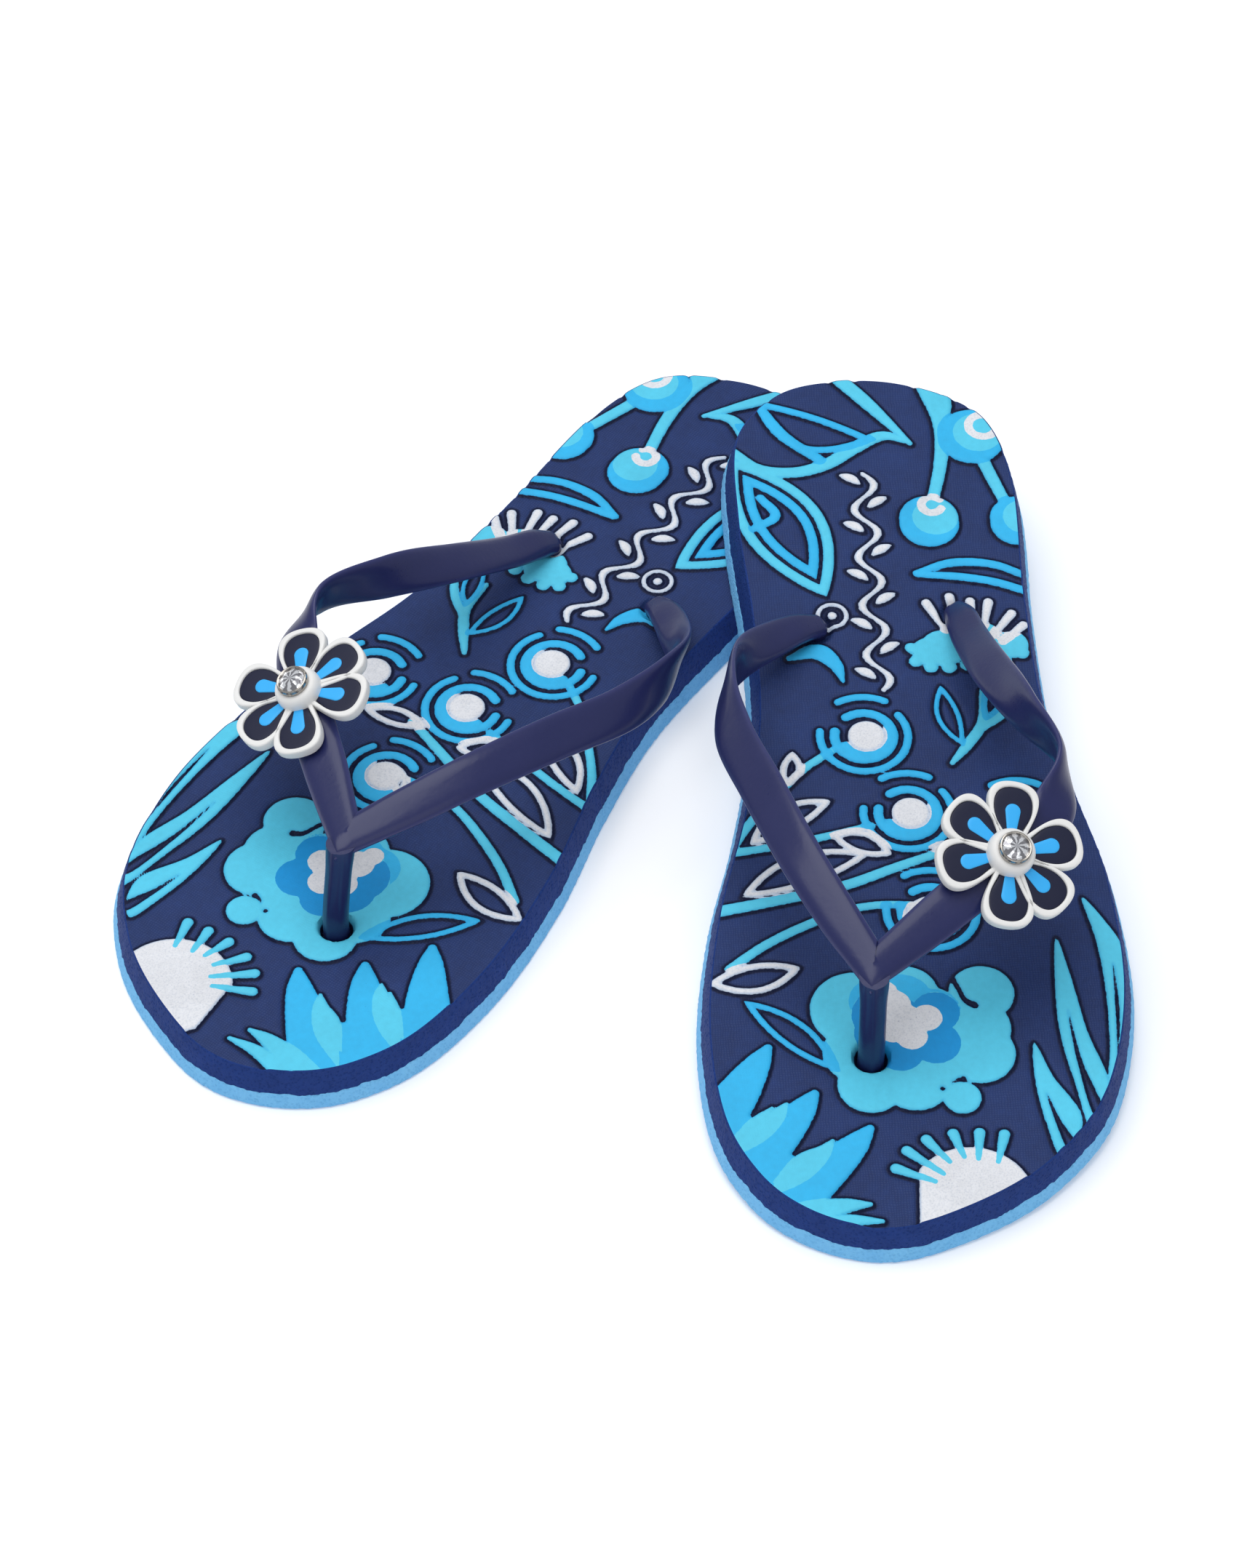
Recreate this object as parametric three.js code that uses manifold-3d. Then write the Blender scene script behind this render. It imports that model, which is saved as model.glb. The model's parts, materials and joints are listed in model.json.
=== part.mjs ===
/**
 * A pair of women's thong sandals (flip flops), one lying with its heel on the other's heel.
 *
 * Each sandal is a two-layer foam sole, a one-piece soft thong strap whose three plugs are
 * pulled through the sole, and a flower charm that turns on a rivet through the strap.
 *
 * Millimetres, +Z up. The pair stands on z = 0, centred, with its toes towards -Y.
 * A sandal's own frame has X from heel to toe, Y towards the outer side of a left foot
 * and z = 0 on the underside; the right sandal is the mirror image of the left one.
 */
import * as THREE from 'three';
import { mergeVertices } from 'three/addons/utils/BufferGeometryUtils.js';
import Module from 'manifold-3d';

const wasm = await Module();
wasm.setup();

// ---------------------------------------------------------------- driving dimensions

const DEG = Math.PI / 180;

/** Gap between pieces that touch or are bonded, and between a running piece and its seat. */
const GAP = 0.3;

const SOLE = {
  length: 253.5,
  width: 96.2,
  outsoleHeel: 5.3,
  outsoleToe: 3.9,
  footbedHeel: 8.3,
  footbedToe: 5.9,
  flare: 2.8,
};

/** The share of the sole's length behind the frame's origin. */
const HEEL_SHARE = 0.52;

/** How far the line down the sole's middle stops short of heel and toe, as shares of the width. */
const SPINE_INSET = { heel: 0.35, toe: 0.5 };

/** The sole's outline as shares of its length and width: heel at x = 0, toe at x = 1. */
const OUTLINE = [
  [1.000, -0.125], [0.984, 0.050], [0.931, 0.280], [0.853, 0.432], [0.746, 0.494],
  [0.622, 0.480], [0.520, 0.422], [0.421, 0.369], [0.280, 0.351], [0.132, 0.350],
  [0.058, 0.299], [0.011, 0.125], [0.000, -0.073], [0.020, -0.250], [0.078, -0.353],
  [0.176, -0.360], [0.302, -0.337], [0.425, -0.337], [0.540, -0.390], [0.658, -0.468],
  [0.777, -0.505], [0.876, -0.483], [0.938, -0.411], [0.978, -0.302],
];
const OUTLINE_STEPS = 76;

/** Where the strap's three plugs pass through the sole. */
const TOE_HOLE = new THREE.Vector2(75.3, -12.3);
const OUTER_HOLE = new THREE.Vector2(-55, 16.7);
const INNER_HOLE = new THREE.Vector2(-51.5, -17.5);

const STRAP = {
  postRadius: 3.1,
  neckRadius: 2.8,
  plugRadius: 7,
  plugThickness: 2.4,
  plugInset: 0.6,
  reach: 1.2,
  dimple: 1.8,
  postLean: 2.2,
  neckEase: 0.25,
};

/** The point where the two strap arms meet over the toe post, its height over the footbed. */
const TIP = { x: 69.6, y: -12.3, height: 26.4 };

/** The mitre between the arms: how far each runs past it, and the direction across it. */
const MITRE = { lap: 0.35, blockSize: 60, across: new THREE.Vector3(0.17, 1, 0).normalize() };

const CHARM = {
  station: 7,
  baseThickness: 2.6,
  floorThickness: 1.1,
  petalRoot: 3,
  petalTip: 17.7,
  petalHalfRoot: 3,
  petalHalfWidth: 6.05,
  rim: 1.25,
  inlayDrop: 0.25,
  domeRadius: 5.7,
  domeHeight: 3,
  dropEnd: 12.2,
  dropHalfWidth: 1.85,
  dropRootShare: 0.55,
};

/** Directions of the six petals, in degrees: the moulding isn't quite regular, and both
 * charms come from one mould, so they aren't mirror images of each other. */
const PETALS = [0, 57, 110, 182, 232, 290];

const RIVET = {
  stemRadius: 1.5,
  capRadius: 3.9,
  capHeight: 1.5,
  backRadius: 3.6,
  backThickness: 1,
  capEdge: { drop: 0.4, inset: 0.3 },
  seatFloor: 0.5,
  stoneRadius: 3.2,
  stoneHeight: 1.1,
  girdle: 0.5,
  tableShare: 0.55,
};

/** How the two sandals lie, and how far each charm is turned on its rivet, in degrees. */
const LAY = {
  rightTurn: -34.2,
  leftTurn: 2.1,
  leftAhead: 35,
  leftAside: 101.6,
  rightCharm: 237,
  leftCharm: 220,
};

const COLOURS = {
  navyFoam: { color: 0x22387a, roughness: 0.62, metalness: 0 },
  blueFoam: { color: 0x62b3ee, roughness: 0.6, metalness: 0 },
  strap: { color: 0x33305c, roughness: 0.28, metalness: 0 },
  white: { color: 0xe6e4de, roughness: 0.42, metalness: 0 },
  petal: { color: 0x23243f, roughness: 0.4, metalness: 0 },
  drop: { color: 0x3fb4f6, roughness: 0.4, metalness: 0 },
  metal: { color: 0xb9b6b2, roughness: 0.25, metalness: 1 },
  stone: { color: 0xf2f4f6, roughness: 0.05, metalness: 0 },
};

// ---------------------------------------------------------------- solids

/** A closed geometry as a manifold solid. */
function solid(geometry) {
  const bare = geometry.clone();
  bare.deleteAttribute('normal');
  bare.deleteAttribute('uv');
  const merged = mergeVertices(bare, 1e-4);
  return new wasm.Manifold(new wasm.Mesh({
    numProp: 3,
    vertProperties: new Float32Array(merged.attributes.position.array),
    triVerts: new Uint32Array(merged.index.array),
  }));
}

/** A manifold solid as a geometry. */
function geometryOf(manifold) {
  const mesh = manifold.getMesh();
  const geometry = new THREE.BufferGeometry();
  geometry.setAttribute('position', new THREE.BufferAttribute(mesh.vertProperties, 3));
  geometry.setIndex(new THREE.BufferAttribute(mesh.triVerts, 1));
  geometry.computeVertexNormals();
  return geometry;
}

/** Moves every vertex of a geometry by a function that changes the point it is given. */
function moveVertices(geometry, change) {
  const position = geometry.attributes.position;
  const point = new THREE.Vector3();
  for (let i = 0; i < position.count; i += 1) {
    point.fromBufferAttribute(position, i);
    change(point);
    position.setXYZ(i, point.x, point.y, point.z);
  }
  return geometry;
}

/** The mirror image of a geometry across its own XZ plane, with its faces still pointing out. */
function mirrored(geometry) {
  const copy = geometry.clone();
  copy.scale(1, -1, 1);
  const index = copy.index.array;
  for (let i = 0; i < index.length; i += 3) {
    [index[i], index[i + 1]] = [index[i + 1], index[i]];
  }
  copy.computeVertexNormals();
  return copy;
}

/** A solid turned about +Z from a closed profile of [radius, z] points. */
function turned(profile, sides = 24) {
  return solid(new THREE.LatheGeometry(profile.map(([r, z]) => new THREE.Vector2(r, z)), sides)
    .rotateX(Math.PI / 2));
}

/** An upright cylinder between two heights. */
function post(radius, low, high, sides = 20) {
  return turned([[0, low], [radius, low], [radius, high], [0, high]], sides);
}

/** A flat plate of an outline, between two heights. */
function plate(shape, low, high, segments = 5) {
  const options = { depth: high - low, bevelEnabled: false, curveSegments: segments };
  return solid(new THREE.ExtrudeGeometry(shape, options).translate(0, 0, low));
}

// ---------------------------------------------------------------- sole

/** How far along the sole a point lies, from 0 at the heel to 1 at the toe. */
function along(x) {
  return x / SOLE.length + HEEL_SHARE;
}

const outsoleTop = (x) => THREE.MathUtils.lerp(SOLE.outsoleHeel, SOLE.outsoleToe, along(x));
const footbedThickness = (x) => THREE.MathUtils.lerp(SOLE.footbedHeel, SOLE.footbedToe, along(x));
const footbedTop = (x) => outsoleTop(x) + footbedThickness(x);

/** The outline of the footbed's top edge, as evenly spaced points. */
function outlinePoints() {
  const points = OUTLINE.map(([x, y]) => new THREE.Vector3(
    (x - HEEL_SHARE) * SOLE.length, y * SOLE.width, 0));
  return new THREE.CatmullRomCurve3(points, true).getSpacedPoints(OUTLINE_STEPS).slice(0, -1);
}

/** Pushes a point of the outline outwards, away from the line down the middle of the sole. */
function flareOut(point, amount) {
  const spine = new THREE.Line3(
    new THREE.Vector3(-HEEL_SHARE * SOLE.length + SOLE.width * SPINE_INSET.heel, 0, 0),
    new THREE.Vector3((1 - HEEL_SHARE) * SOLE.length - SOLE.width * SPINE_INSET.toe, 0, 0));
  const flat = new THREE.Vector3(point.x, point.y, 0);
  const nearest = spine.closestPointToPoint(flat, true, new THREE.Vector3());
  const outwards = flat.sub(nearest).normalize();
  point.addScaledVector(outwards, amount);
}

/** A layer of the sole between two heights, its side wall following the sole's flare. */
function soleLayer(lowAt, highAt) {
  const shape = new THREE.Shape(outlinePoints().map((p) => new THREE.Vector2(p.x, p.y)));
  const block = new THREE.ExtrudeGeometry(shape, { depth: 1, bevelEnabled: false });
  moveVertices(block, (point) => {
    const height = THREE.MathUtils.lerp(lowAt(point.x), highAt(point.x), point.z);
    const x = point.x;
    flareOut(point, SOLE.flare * (1 - height / footbedTop(x)));
    point.z = height;
  });
  return solid(block);
}

/** An upright hole through a sole layer. */
function soleHole(at, radius, low, high) {
  return post(radius, low, high).translate([at.x, at.y, 0]);
}

function outsole() {
  let body = soleLayer(() => 0, outsoleTop);
  for (const [hole, radius] of plugHoles()) {
    const through = outsoleTop(hole.x) + 1;
    body = body.subtract(soleHole(hole, radius + GAP, -1, through));
    body = body.subtract(soleHole(hole, STRAP.plugRadius + GAP, -1, plugTop() + GAP));
  }
  return body;
}

function footbed() {
  let body = soleLayer((x) => outsoleTop(x) + GAP, footbedTop);
  for (const [hole, radius] of plugHoles()) {
    body = body.subtract(soleHole(hole, radius + GAP, 0, footbedTop(hole.x) + 1));
    body = body.subtract(dimple(radius + GAP).translate([hole.x, hole.y, footbedTop(hole.x)]));
  }
  return body;
}

/** The hollow that the strap presses into the foam round a hole's mouth. */
function dimple(radius) {
  const mouth = radius + STRAP.dimple;
  return turned([[0, -STRAP.dimple], [radius, -STRAP.dimple], [mouth, 0], [mouth, 1], [0, 1]]);
}

/** Each plug's place in the sole and the radius of what passes through it. */
function plugHoles() {
  return [
    [TOE_HOLE, STRAP.postRadius],
    [OUTER_HOLE, STRAP.neckRadius],
    [INNER_HOLE, STRAP.neckRadius],
  ];
}

/** The height of a plug's upper side, in its recess under the sole. */
const plugTop = () => STRAP.plugInset + STRAP.plugThickness;

// ---------------------------------------------------------------- strap

/** One place along a strap arm: its point, the direction across the band, and the band's size. */
function station(x, y, height, across, width, thickness) {
  return {
    point: new THREE.Vector3(x, y, footbedTop(x) + height),
    across: new THREE.Vector3(...across),
    size: new THREE.Vector3(width, thickness, 0),
  };
}

/** The arm on the foot's outer side, from its hole, round the outer bend, to past the tip. */
function outerArm() {
  return [
    station(OUTER_HOLE.x, OUTER_HOLE.y, STRAP.reach, [0.5, -0.8, -0.3], 5, 4.6),
    station(OUTER_HOLE.x + 5, OUTER_HOLE.y + 0.8, 4.4, [0.5, -0.8, -0.3], 7.8, 4.2),
    station(-41, 18.5, 9, [0.45, -0.85, -0.3], 9, 3.4),
    station(-23, 21.5, 19, [0.3, -0.8, -0.5], 10, 2.8),
    station(-2, 27.5, 28.5, [0.1, -0.4, -0.9], 10.8, 2.6),
    station(15.5, 34.5, 32, [-0.1, 0.1, -0.95], 11, 2.6),
    station(29, 31.5, 30.3, [0.6, 0.62, -0.5], 11.2, 2.7),
    station(42, 19.5, 29.3, [0.7, 0.61, -0.38], 11, 2.9),
    station(56, 3.5, 27.4, [0.72, 0.6, -0.35], 9.6, 3.1),
    station(TIP.x, TIP.y, TIP.height, [0.76, 0.55, -0.35], 7.4, 3.4),
    station(TIP.x + 7, TIP.y - 9, TIP.height, [0.76, 0.55, -0.35], 7, 3.4),
  ];
}

/** The arm on the foot's inner side, from its hole, round the inner bend, to past the tip. */
function innerArm() {
  return [
    station(INNER_HOLE.x, INNER_HOLE.y, STRAP.reach, [0.85, 0.5, -0.2], 5, 4.6),
    station(INNER_HOLE.x + 3, INNER_HOLE.y - 4.5, 4.2, [0.85, 0.5, -0.2], 7.8, 4.2),
    station(-43, -28, 7.5, [0.8, 0.45, -0.4], 9, 3.4),
    station(-33, -36.5, 12.5, [0.5, 0.2, -0.8], 10, 2.8),
    station(-19, -41, 17.5, [0.1, -0.3, -0.95], 10.8, 2.6),
    station(-3, -40.5, 21.5, [0, -0.7, -0.7], 11, 2.6),
    station(17, -35, 26.5, [0.25, -0.8, -0.55], 11, 2.7),
    station(40, -27.5, 30, [0.35, -0.8, -0.45], 10.5, 2.9),
    station(57, -19.5, 28.8, [0.4, -0.8, -0.4], 9, 3.1),
    station(TIP.x, TIP.y, TIP.height, [0.45, -0.8, -0.35], 7.4, 3.4),
    station(TIP.x + 9, TIP.y + 5, TIP.height - 1, [0.45, -0.8, -0.35], 7, 3.4),
  ];
}

/** A smooth path through an arm's stations, giving the band's frame and size at 0 to 1. */
class ArmPath {
  constructor(stations) {
    this.middle = new THREE.CatmullRomCurve3(stations.map((s) => s.point));
    this.across = new THREE.CatmullRomCurve3(stations.map((s) => s.across));
    this.size = new THREE.CatmullRomCurve3(stations.map((s) => s.size));
  }

  /** The middle of the band, its direction, its width direction and the way its face looks. */
  frame(t) {
    const point = this.middle.getPoint(t);
    const ahead = this.middle.getTangent(t);
    const across = this.across.getPoint(t);
    across.addScaledVector(ahead, -across.dot(ahead)).normalize();
    const face = new THREE.Vector3().crossVectors(ahead, across);
    return { point, ahead, across, face, size: this.size.getPoint(t) };
  }
}

/** A round outline. */
function circle(radius) {
  const shape = new THREE.Shape();
  shape.absellipse(0, 0, radius, radius, 0, 2 * Math.PI);
  return shape;
}

/** A band swept along an arm's path: an extruded round section, laid vertex by vertex. */
function band(path, steps = 36) {
  const section = circle(0.5);
  const options = { depth: 1, steps, bevelEnabled: false, curveSegments: 6 };
  const straight = new THREE.ExtrudeGeometry(section, options);
  return solid(moveVertices(straight, (p) => {
    const { point, across, face, size } = path.frame(p.z);
    const { x, y } = p;
    p.copy(point);
    p.addScaledVector(across, x * size.x);
    p.addScaledVector(face, y * size.y);
  }));
}

/** A block that fills the far side of the mitre plane where the two arms meet, less a small lap. */
function mitreBlock(towards) {
  const { blockSize: size, lap } = MITRE;
  const block = new THREE.BoxGeometry(size, size, size).translate(size / 2 + lap, 0, 0);
  const turn = new THREE.Quaternion().setFromUnitVectors(new THREE.Vector3(1, 0, 0), towards);
  block.applyQuaternion(turn);
  const tip = station(TIP.x, TIP.y, TIP.height, [1, 0, 0], 1, 1).point;
  return solid(block.translate(tip.x, tip.y, tip.z));
}

/** A round neck up from a plug under the sole into the strap's end, and the plug. */
function neckAndPlug(hole, radius) {
  const top = footbedTop(hole.x) + STRAP.reach;
  const neck = soleHole(hole, radius - STRAP.neckEase, plugTop() - 1, top);
  return neck.add(soleHole(hole, STRAP.plugRadius, STRAP.plugInset, plugTop()));
}

/** The toe post, leaning back a little from its hole into the tip where the arms meet. */
function toePost() {
  const foot = footbedTop(TOE_HOLE.x);
  const path = new THREE.CatmullRomCurve3([
    new THREE.Vector3(TOE_HOLE.x, TOE_HOLE.y, foot),
    new THREE.Vector3(TOE_HOLE.x, TOE_HOLE.y, foot + 4),
    new THREE.Vector3(TIP.x + STRAP.postLean, TIP.y, foot + TIP.height),
  ]);
  const options = { steps: 8, bevelEnabled: false, curveSegments: 10, extrudePath: path };
  return solid(new THREE.ExtrudeGeometry(circle(STRAP.postRadius), options));
}

function strap() {
  const outer = new ArmPath(outerArm());
  const inner = new ArmPath(innerArm());
  let body = band(outer).subtract(mitreBlock(MITRE.across.clone().negate()));
  body = body.add(band(inner).subtract(mitreBlock(MITRE.across)));
  body = body.add(toePost());
  for (const [hole, radius] of plugHoles()) {
    body = body.add(neckAndPlug(hole, radius));
  }
  return body.subtract(inCharmFrame(post(RIVET.stemRadius + GAP, -10, 10)));
}

// ---------------------------------------------------------------- flower charm

/** The strap's frame where the charm is riveted on, at one of the outer arm's stations. */
function charmSeat() {
  const stations = outerArm();
  return new ArmPath(stations).frame(CHARM.station / (stations.length - 1));
}

/** The charm's frame: its z = 0 is the plane it sits on, over the strap's outer arm. */
function charmMatrix() {
  const { point, ahead, face, across, size } = charmSeat();
  const seat = point.clone().addScaledVector(face, size.y / 2 + GAP);
  return new THREE.Matrix4().makeBasis(ahead, across, face).setPosition(seat);
}

/** Places a solid made in the charm's frame. */
function inCharmFrame(manifold) {
  return manifold.transform(charmMatrix().toArray());
}

/** One petal's outline, pointing along +X, drawn in from the edge by an inset. */
function petalShape(root, inset) {
  const tip = CHARM.petalTip - inset;
  const narrow = CHARM.petalHalfRoot - inset * 0.8;
  const wide = CHARM.petalHalfWidth - inset;
  const shape = new THREE.Shape();
  shape.moveTo(root, -narrow);
  shape.bezierCurveTo(root + 3, -narrow - 0.6, tip - 8, -wide, tip - 4.6, -wide);
  shape.bezierCurveTo(tip - 1.4, -wide, tip, -wide * 0.62, tip, 0);
  shape.bezierCurveTo(tip, wide * 0.62, tip - 1.4, wide, tip - 4.6, wide);
  shape.bezierCurveTo(tip - 8, wide, root + 3, narrow + 0.6, root, narrow);
  return shape;
}

/** A drop's outline, wide end outwards. */
function dropShape(root, inset) {
  const tip = CHARM.dropEnd - inset;
  const wide = CHARM.dropHalfWidth - inset;
  const shape = new THREE.Shape();
  shape.moveTo(root, -wide * CHARM.dropRootShare);
  shape.lineTo(tip - wide, -wide);
  shape.absarc(tip - wide, 0, wide, -Math.PI / 2, Math.PI / 2, false);
  shape.lineTo(root, wide * CHARM.dropRootShare);
  return shape;
}

/** The height of the navy fills' top, a little under the rims. */
const fillTop = () => CHARM.baseThickness - CHARM.inlayDrop;

/** Turns a solid made along +X to a petal's direction. */
const toPetal = (manifold, direction) => manifold.rotate([0, 0, direction]);

function charmBase(petals) {
  let body = post(CHARM.domeRadius, 0, CHARM.baseThickness, 32);
  for (const direction of petals) {
    body = body.add(toPetal(plate(petalShape(CHARM.petalRoot, 0), 0, CHARM.baseThickness), direction));
  }
  for (const direction of petals) {
    const root = CHARM.domeRadius - GAP;
    const pocket = plate(petalShape(root, CHARM.rim), CHARM.floorThickness, CHARM.baseThickness + 1);
    body = body.subtract(toPetal(pocket, direction));
  }
  body = body.add(dome());
  return body.subtract(post(RIVET.stemRadius + GAP, -1, CHARM.baseThickness + CHARM.domeHeight + 1));
}

/** The white boss in the middle of the flower, with a flat top for the rivet's cap. */
function dome() {
  const { domeRadius, domeHeight, floorThickness, baseThickness } = CHARM;
  const flat = RIVET.capRadius + 0.2;
  const profile = [[0, floorThickness / 2], [domeRadius, floorThickness / 2], [domeRadius, baseThickness]];
  const steps = 5;
  for (let i = 1; i <= steps; i += 1) {
    const angle = (i / steps) * (Math.PI / 2);
    profile.push([flat + (domeRadius - flat) * Math.cos(angle), baseThickness + domeHeight * Math.sin(angle)]);
  }
  profile.push([0, baseThickness + domeHeight]);
  return turned(profile, 32);
}

/** One navy petal fill, with an opening for its drop. */
function petalFill() {
  const low = CHARM.floorThickness + GAP;
  const root = CHARM.domeRadius + GAP;
  const body = plate(petalShape(root, CHARM.rim + GAP), low, fillTop());
  return body.subtract(plate(dropShape(root - 1, 0), low - 1, fillTop() + 1));
}

function petalDrop() {
  return plate(dropShape(CHARM.domeRadius + GAP, GAP), CHARM.floorThickness + GAP, fillTop());
}

// ---------------------------------------------------------------- rivet and stone

/** The height over the charm's seat of the dome's flat top. */
const domeTop = () => CHARM.baseThickness + CHARM.domeHeight;

/** The depth under the charm's seat of the strap's underside, with the gaps on both sides. */
function strapDepth() {
  return charmSeat().size.y + 2 * GAP;
}

/** The metal cap that holds the stone, with its stem down through charm and strap. */
function rivetCap() {
  const { stemRadius, capRadius, capHeight, capEdge } = RIVET;
  const base = domeTop() + GAP;
  const end = -strapDepth() - RIVET.backThickness;
  const floor = base + RIVET.seatFloor;
  const mouth = RIVET.stoneRadius + GAP;
  return turned([
    [0, end], [stemRadius, end], [stemRadius, base], [capRadius, base],
    [capRadius, base + capHeight - capEdge.drop], [capRadius - capEdge.inset, base + capHeight],
    [mouth, base + capHeight], [mouth, floor], [0, floor],
  ], 32);
}

/** The round back plate pressed onto the stem's end under the strap. */
function rivetBack() {
  const top = -strapDepth();
  const bottom = top - RIVET.backThickness;
  const bore = RIVET.stemRadius + GAP;
  const outer = RIVET.backRadius;
  return turned([[bore, bottom], [outer, bottom], [outer, top], [bore, top], [bore, bottom]], 24);
}

/** The cut stone: a round foot with eight facets up to a flat table. */
function stone() {
  const { stoneRadius, stoneHeight } = RIVET;
  const base = domeTop() + GAP + RIVET.seatFloor + GAP;
  const girdle = base + RIVET.girdle;
  const table = stoneRadius * RIVET.tableShare;
  const profile = [[0, base], [stoneRadius, base], [stoneRadius, girdle], [table, girdle + stoneHeight]];
  return turned([...profile, [0, girdle + stoneHeight]], 16);
}

// ---------------------------------------------------------------- assembly

/** Every piece of a left sandal in its own frame: name, solid, finish, and whether it turns. */
function sandalPieces(petals) {
  const pieces = [
    ['outsole', outsole(), 'blueFoam', false],
    ['footbed', footbed(), 'navyFoam', false],
    ['strap', strap(), 'strap', false],
    ['rivet_back', rivetBack(), 'metal', true],
    ['rivet_cap', rivetCap(), 'metal', true],
    ['charm_base', charmBase(petals), 'white', true],
    ['stone', stone(), 'stone', true],
  ];
  petals.forEach((direction, i) => {
    pieces.push([`petal_fill_${i + 1}`, toPetal(petalFill(), direction), 'petal', true]);
    pieces.push([`petal_drop_${i + 1}`, toPetal(petalDrop(), direction), 'drop', true]);
  });
  return pieces;
}

/**
 * One sandal as a group of named meshes. A right one is the left one's mirror image, apart
 * from its charm, whose petals are laid out the other way round before it is mirrored.
 */
function sandal(side, charmTurn) {
  const group = new THREE.Group();
  const hand = side === 'right' ? -1 : 1;
  const petals = PETALS.map((direction) => hand * direction);
  for (const [name, body, finish, onCharm] of sandalPieces(petals)) {
    const placed = onCharm ? inCharmFrame(body.rotate([0, 0, hand * charmTurn])) : body;
    const geometry = geometryOf(placed);
    const shape = side === 'right' ? mirrored(geometry) : geometry;
    const mesh = new THREE.Mesh(shape, new THREE.MeshStandardMaterial(COLOURS[finish]));
    mesh.name = `${side}_${name}`;
    group.add(mesh);
  }
  return group;
}

/** How far the toe's lower edge lies ahead of a sandal's origin. */
const toeEdge = () => (1 - HEEL_SHARE) * SOLE.length + SOLE.flare;

/** The pitch that lays the left sandal's toe on the floor and its heel on the right footbed. */
function restingPitch(right, left) {
  const heelward = left.matrixWorld.clone().invert();
  const fence = outlinePoints();
  let pitch = 0;
  for (const p of fence) {
    const top = new THREE.Vector3(p.x, -p.y, footbedTop(p.x)).applyMatrix4(right.matrixWorld);
    const under = top.clone().applyMatrix4(heelward);
    if (inside(under, fence, SOLE.flare)) {
      pitch = Math.max(pitch, Math.atan2(top.z + GAP, toeEdge() - under.x));
    }
  }
  return pitch;
}

/** Whether a point lies inside a closed outline grown by a margin, seen from above. */
function inside(point, outline, margin) {
  let crossings = 0;
  outline.forEach((a, i) => {
    const from = a.clone();
    const to = outline[(i + 1) % outline.length].clone();
    flareOut(from, margin);
    flareOut(to, margin);
    const spans = (from.y > point.y) !== (to.y > point.y);
    const reach = from.x + ((point.y - from.y) / (to.y - from.y)) * (to.x - from.x);
    if (spans && point.x < reach) crossings += 1;
  });
  return crossings % 2 === 1;
}

function pair() {
  const right = sandal('right', LAY.rightCharm);
  right.rotation.z = (LAY.rightTurn - 90) * DEG;
  right.updateMatrixWorld(true);
  const left = sandal('left', LAY.leftCharm);
  left.rotation.order = 'ZYX';
  left.rotation.z = (LAY.leftTurn - 90) * DEG;
  left.position.set(LAY.leftAside, -LAY.leftAhead, 0);
  left.updateMatrixWorld(true);
  const pitch = restingPitch(right, left);
  left.rotation.y = pitch;
  left.position.z = toeEdge() * Math.sin(pitch);
  const both = new THREE.Group();
  both.add(right, left);
  both.updateMatrixWorld(true);
  const box = new THREE.Box3().setFromObject(both, true);
  const middle = box.getCenter(new THREE.Vector3());
  both.position.set(-middle.x, -middle.y, -box.min.z);
  both.updateMatrixWorld(true);
  return both;
}

export default pair();
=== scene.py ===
"""The looks of a pair of women's thong sandals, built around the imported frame.

Each sandal is a two-layer foam sole with a printed and embossed top, a glossy moulded
thong strap, and a soft flower charm held on the strap by a rivet with a cut stone.
Shapes are worked out in millimetres in a sandal's own frame (X from heel to toe, Y towards
the outer side of the foot, z = 0 on the underside) and then laid where the frame says.
"""
import json
import logging
import math
from dataclasses import dataclass
from enum import Enum
from typing import Callable, Sequence

import bpy
import numpy as np
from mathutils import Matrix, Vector


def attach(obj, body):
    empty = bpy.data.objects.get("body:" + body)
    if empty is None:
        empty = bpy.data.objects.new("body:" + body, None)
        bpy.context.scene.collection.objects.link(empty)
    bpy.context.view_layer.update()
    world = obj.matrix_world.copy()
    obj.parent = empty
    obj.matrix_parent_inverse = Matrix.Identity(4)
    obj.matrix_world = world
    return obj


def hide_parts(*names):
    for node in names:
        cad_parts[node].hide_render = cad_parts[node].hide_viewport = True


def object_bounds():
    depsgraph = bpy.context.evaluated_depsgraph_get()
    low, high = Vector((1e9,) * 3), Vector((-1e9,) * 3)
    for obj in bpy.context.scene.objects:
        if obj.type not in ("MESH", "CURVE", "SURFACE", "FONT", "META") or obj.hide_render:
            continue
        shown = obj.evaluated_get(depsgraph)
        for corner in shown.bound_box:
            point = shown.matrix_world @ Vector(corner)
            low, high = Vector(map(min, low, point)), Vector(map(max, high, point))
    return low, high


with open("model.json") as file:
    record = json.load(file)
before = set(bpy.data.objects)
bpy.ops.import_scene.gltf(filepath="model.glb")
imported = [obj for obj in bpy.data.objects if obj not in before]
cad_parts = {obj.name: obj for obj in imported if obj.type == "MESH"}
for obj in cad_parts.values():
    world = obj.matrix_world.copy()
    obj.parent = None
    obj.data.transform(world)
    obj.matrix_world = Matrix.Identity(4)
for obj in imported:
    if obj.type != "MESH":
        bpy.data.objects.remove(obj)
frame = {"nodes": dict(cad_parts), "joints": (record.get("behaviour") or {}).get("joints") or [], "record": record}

log = logging.getLogger("sandals")

CAD_BOX = [list(corner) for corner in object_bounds()]
MM = 0.001
GAP = 0.3


class Side(Enum):
    """Which foot a sandal is for."""

    LEFT = "left"
    RIGHT = "right"


class Ink(Enum):
    """The print's colours, in the order they are laid over the navy ground."""

    CYAN = "printed"
    SKY = "sky"
    DEEP = "deep"
    WHITE = "white"


# ---------------------------------------------------------------- curves and distances


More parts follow.
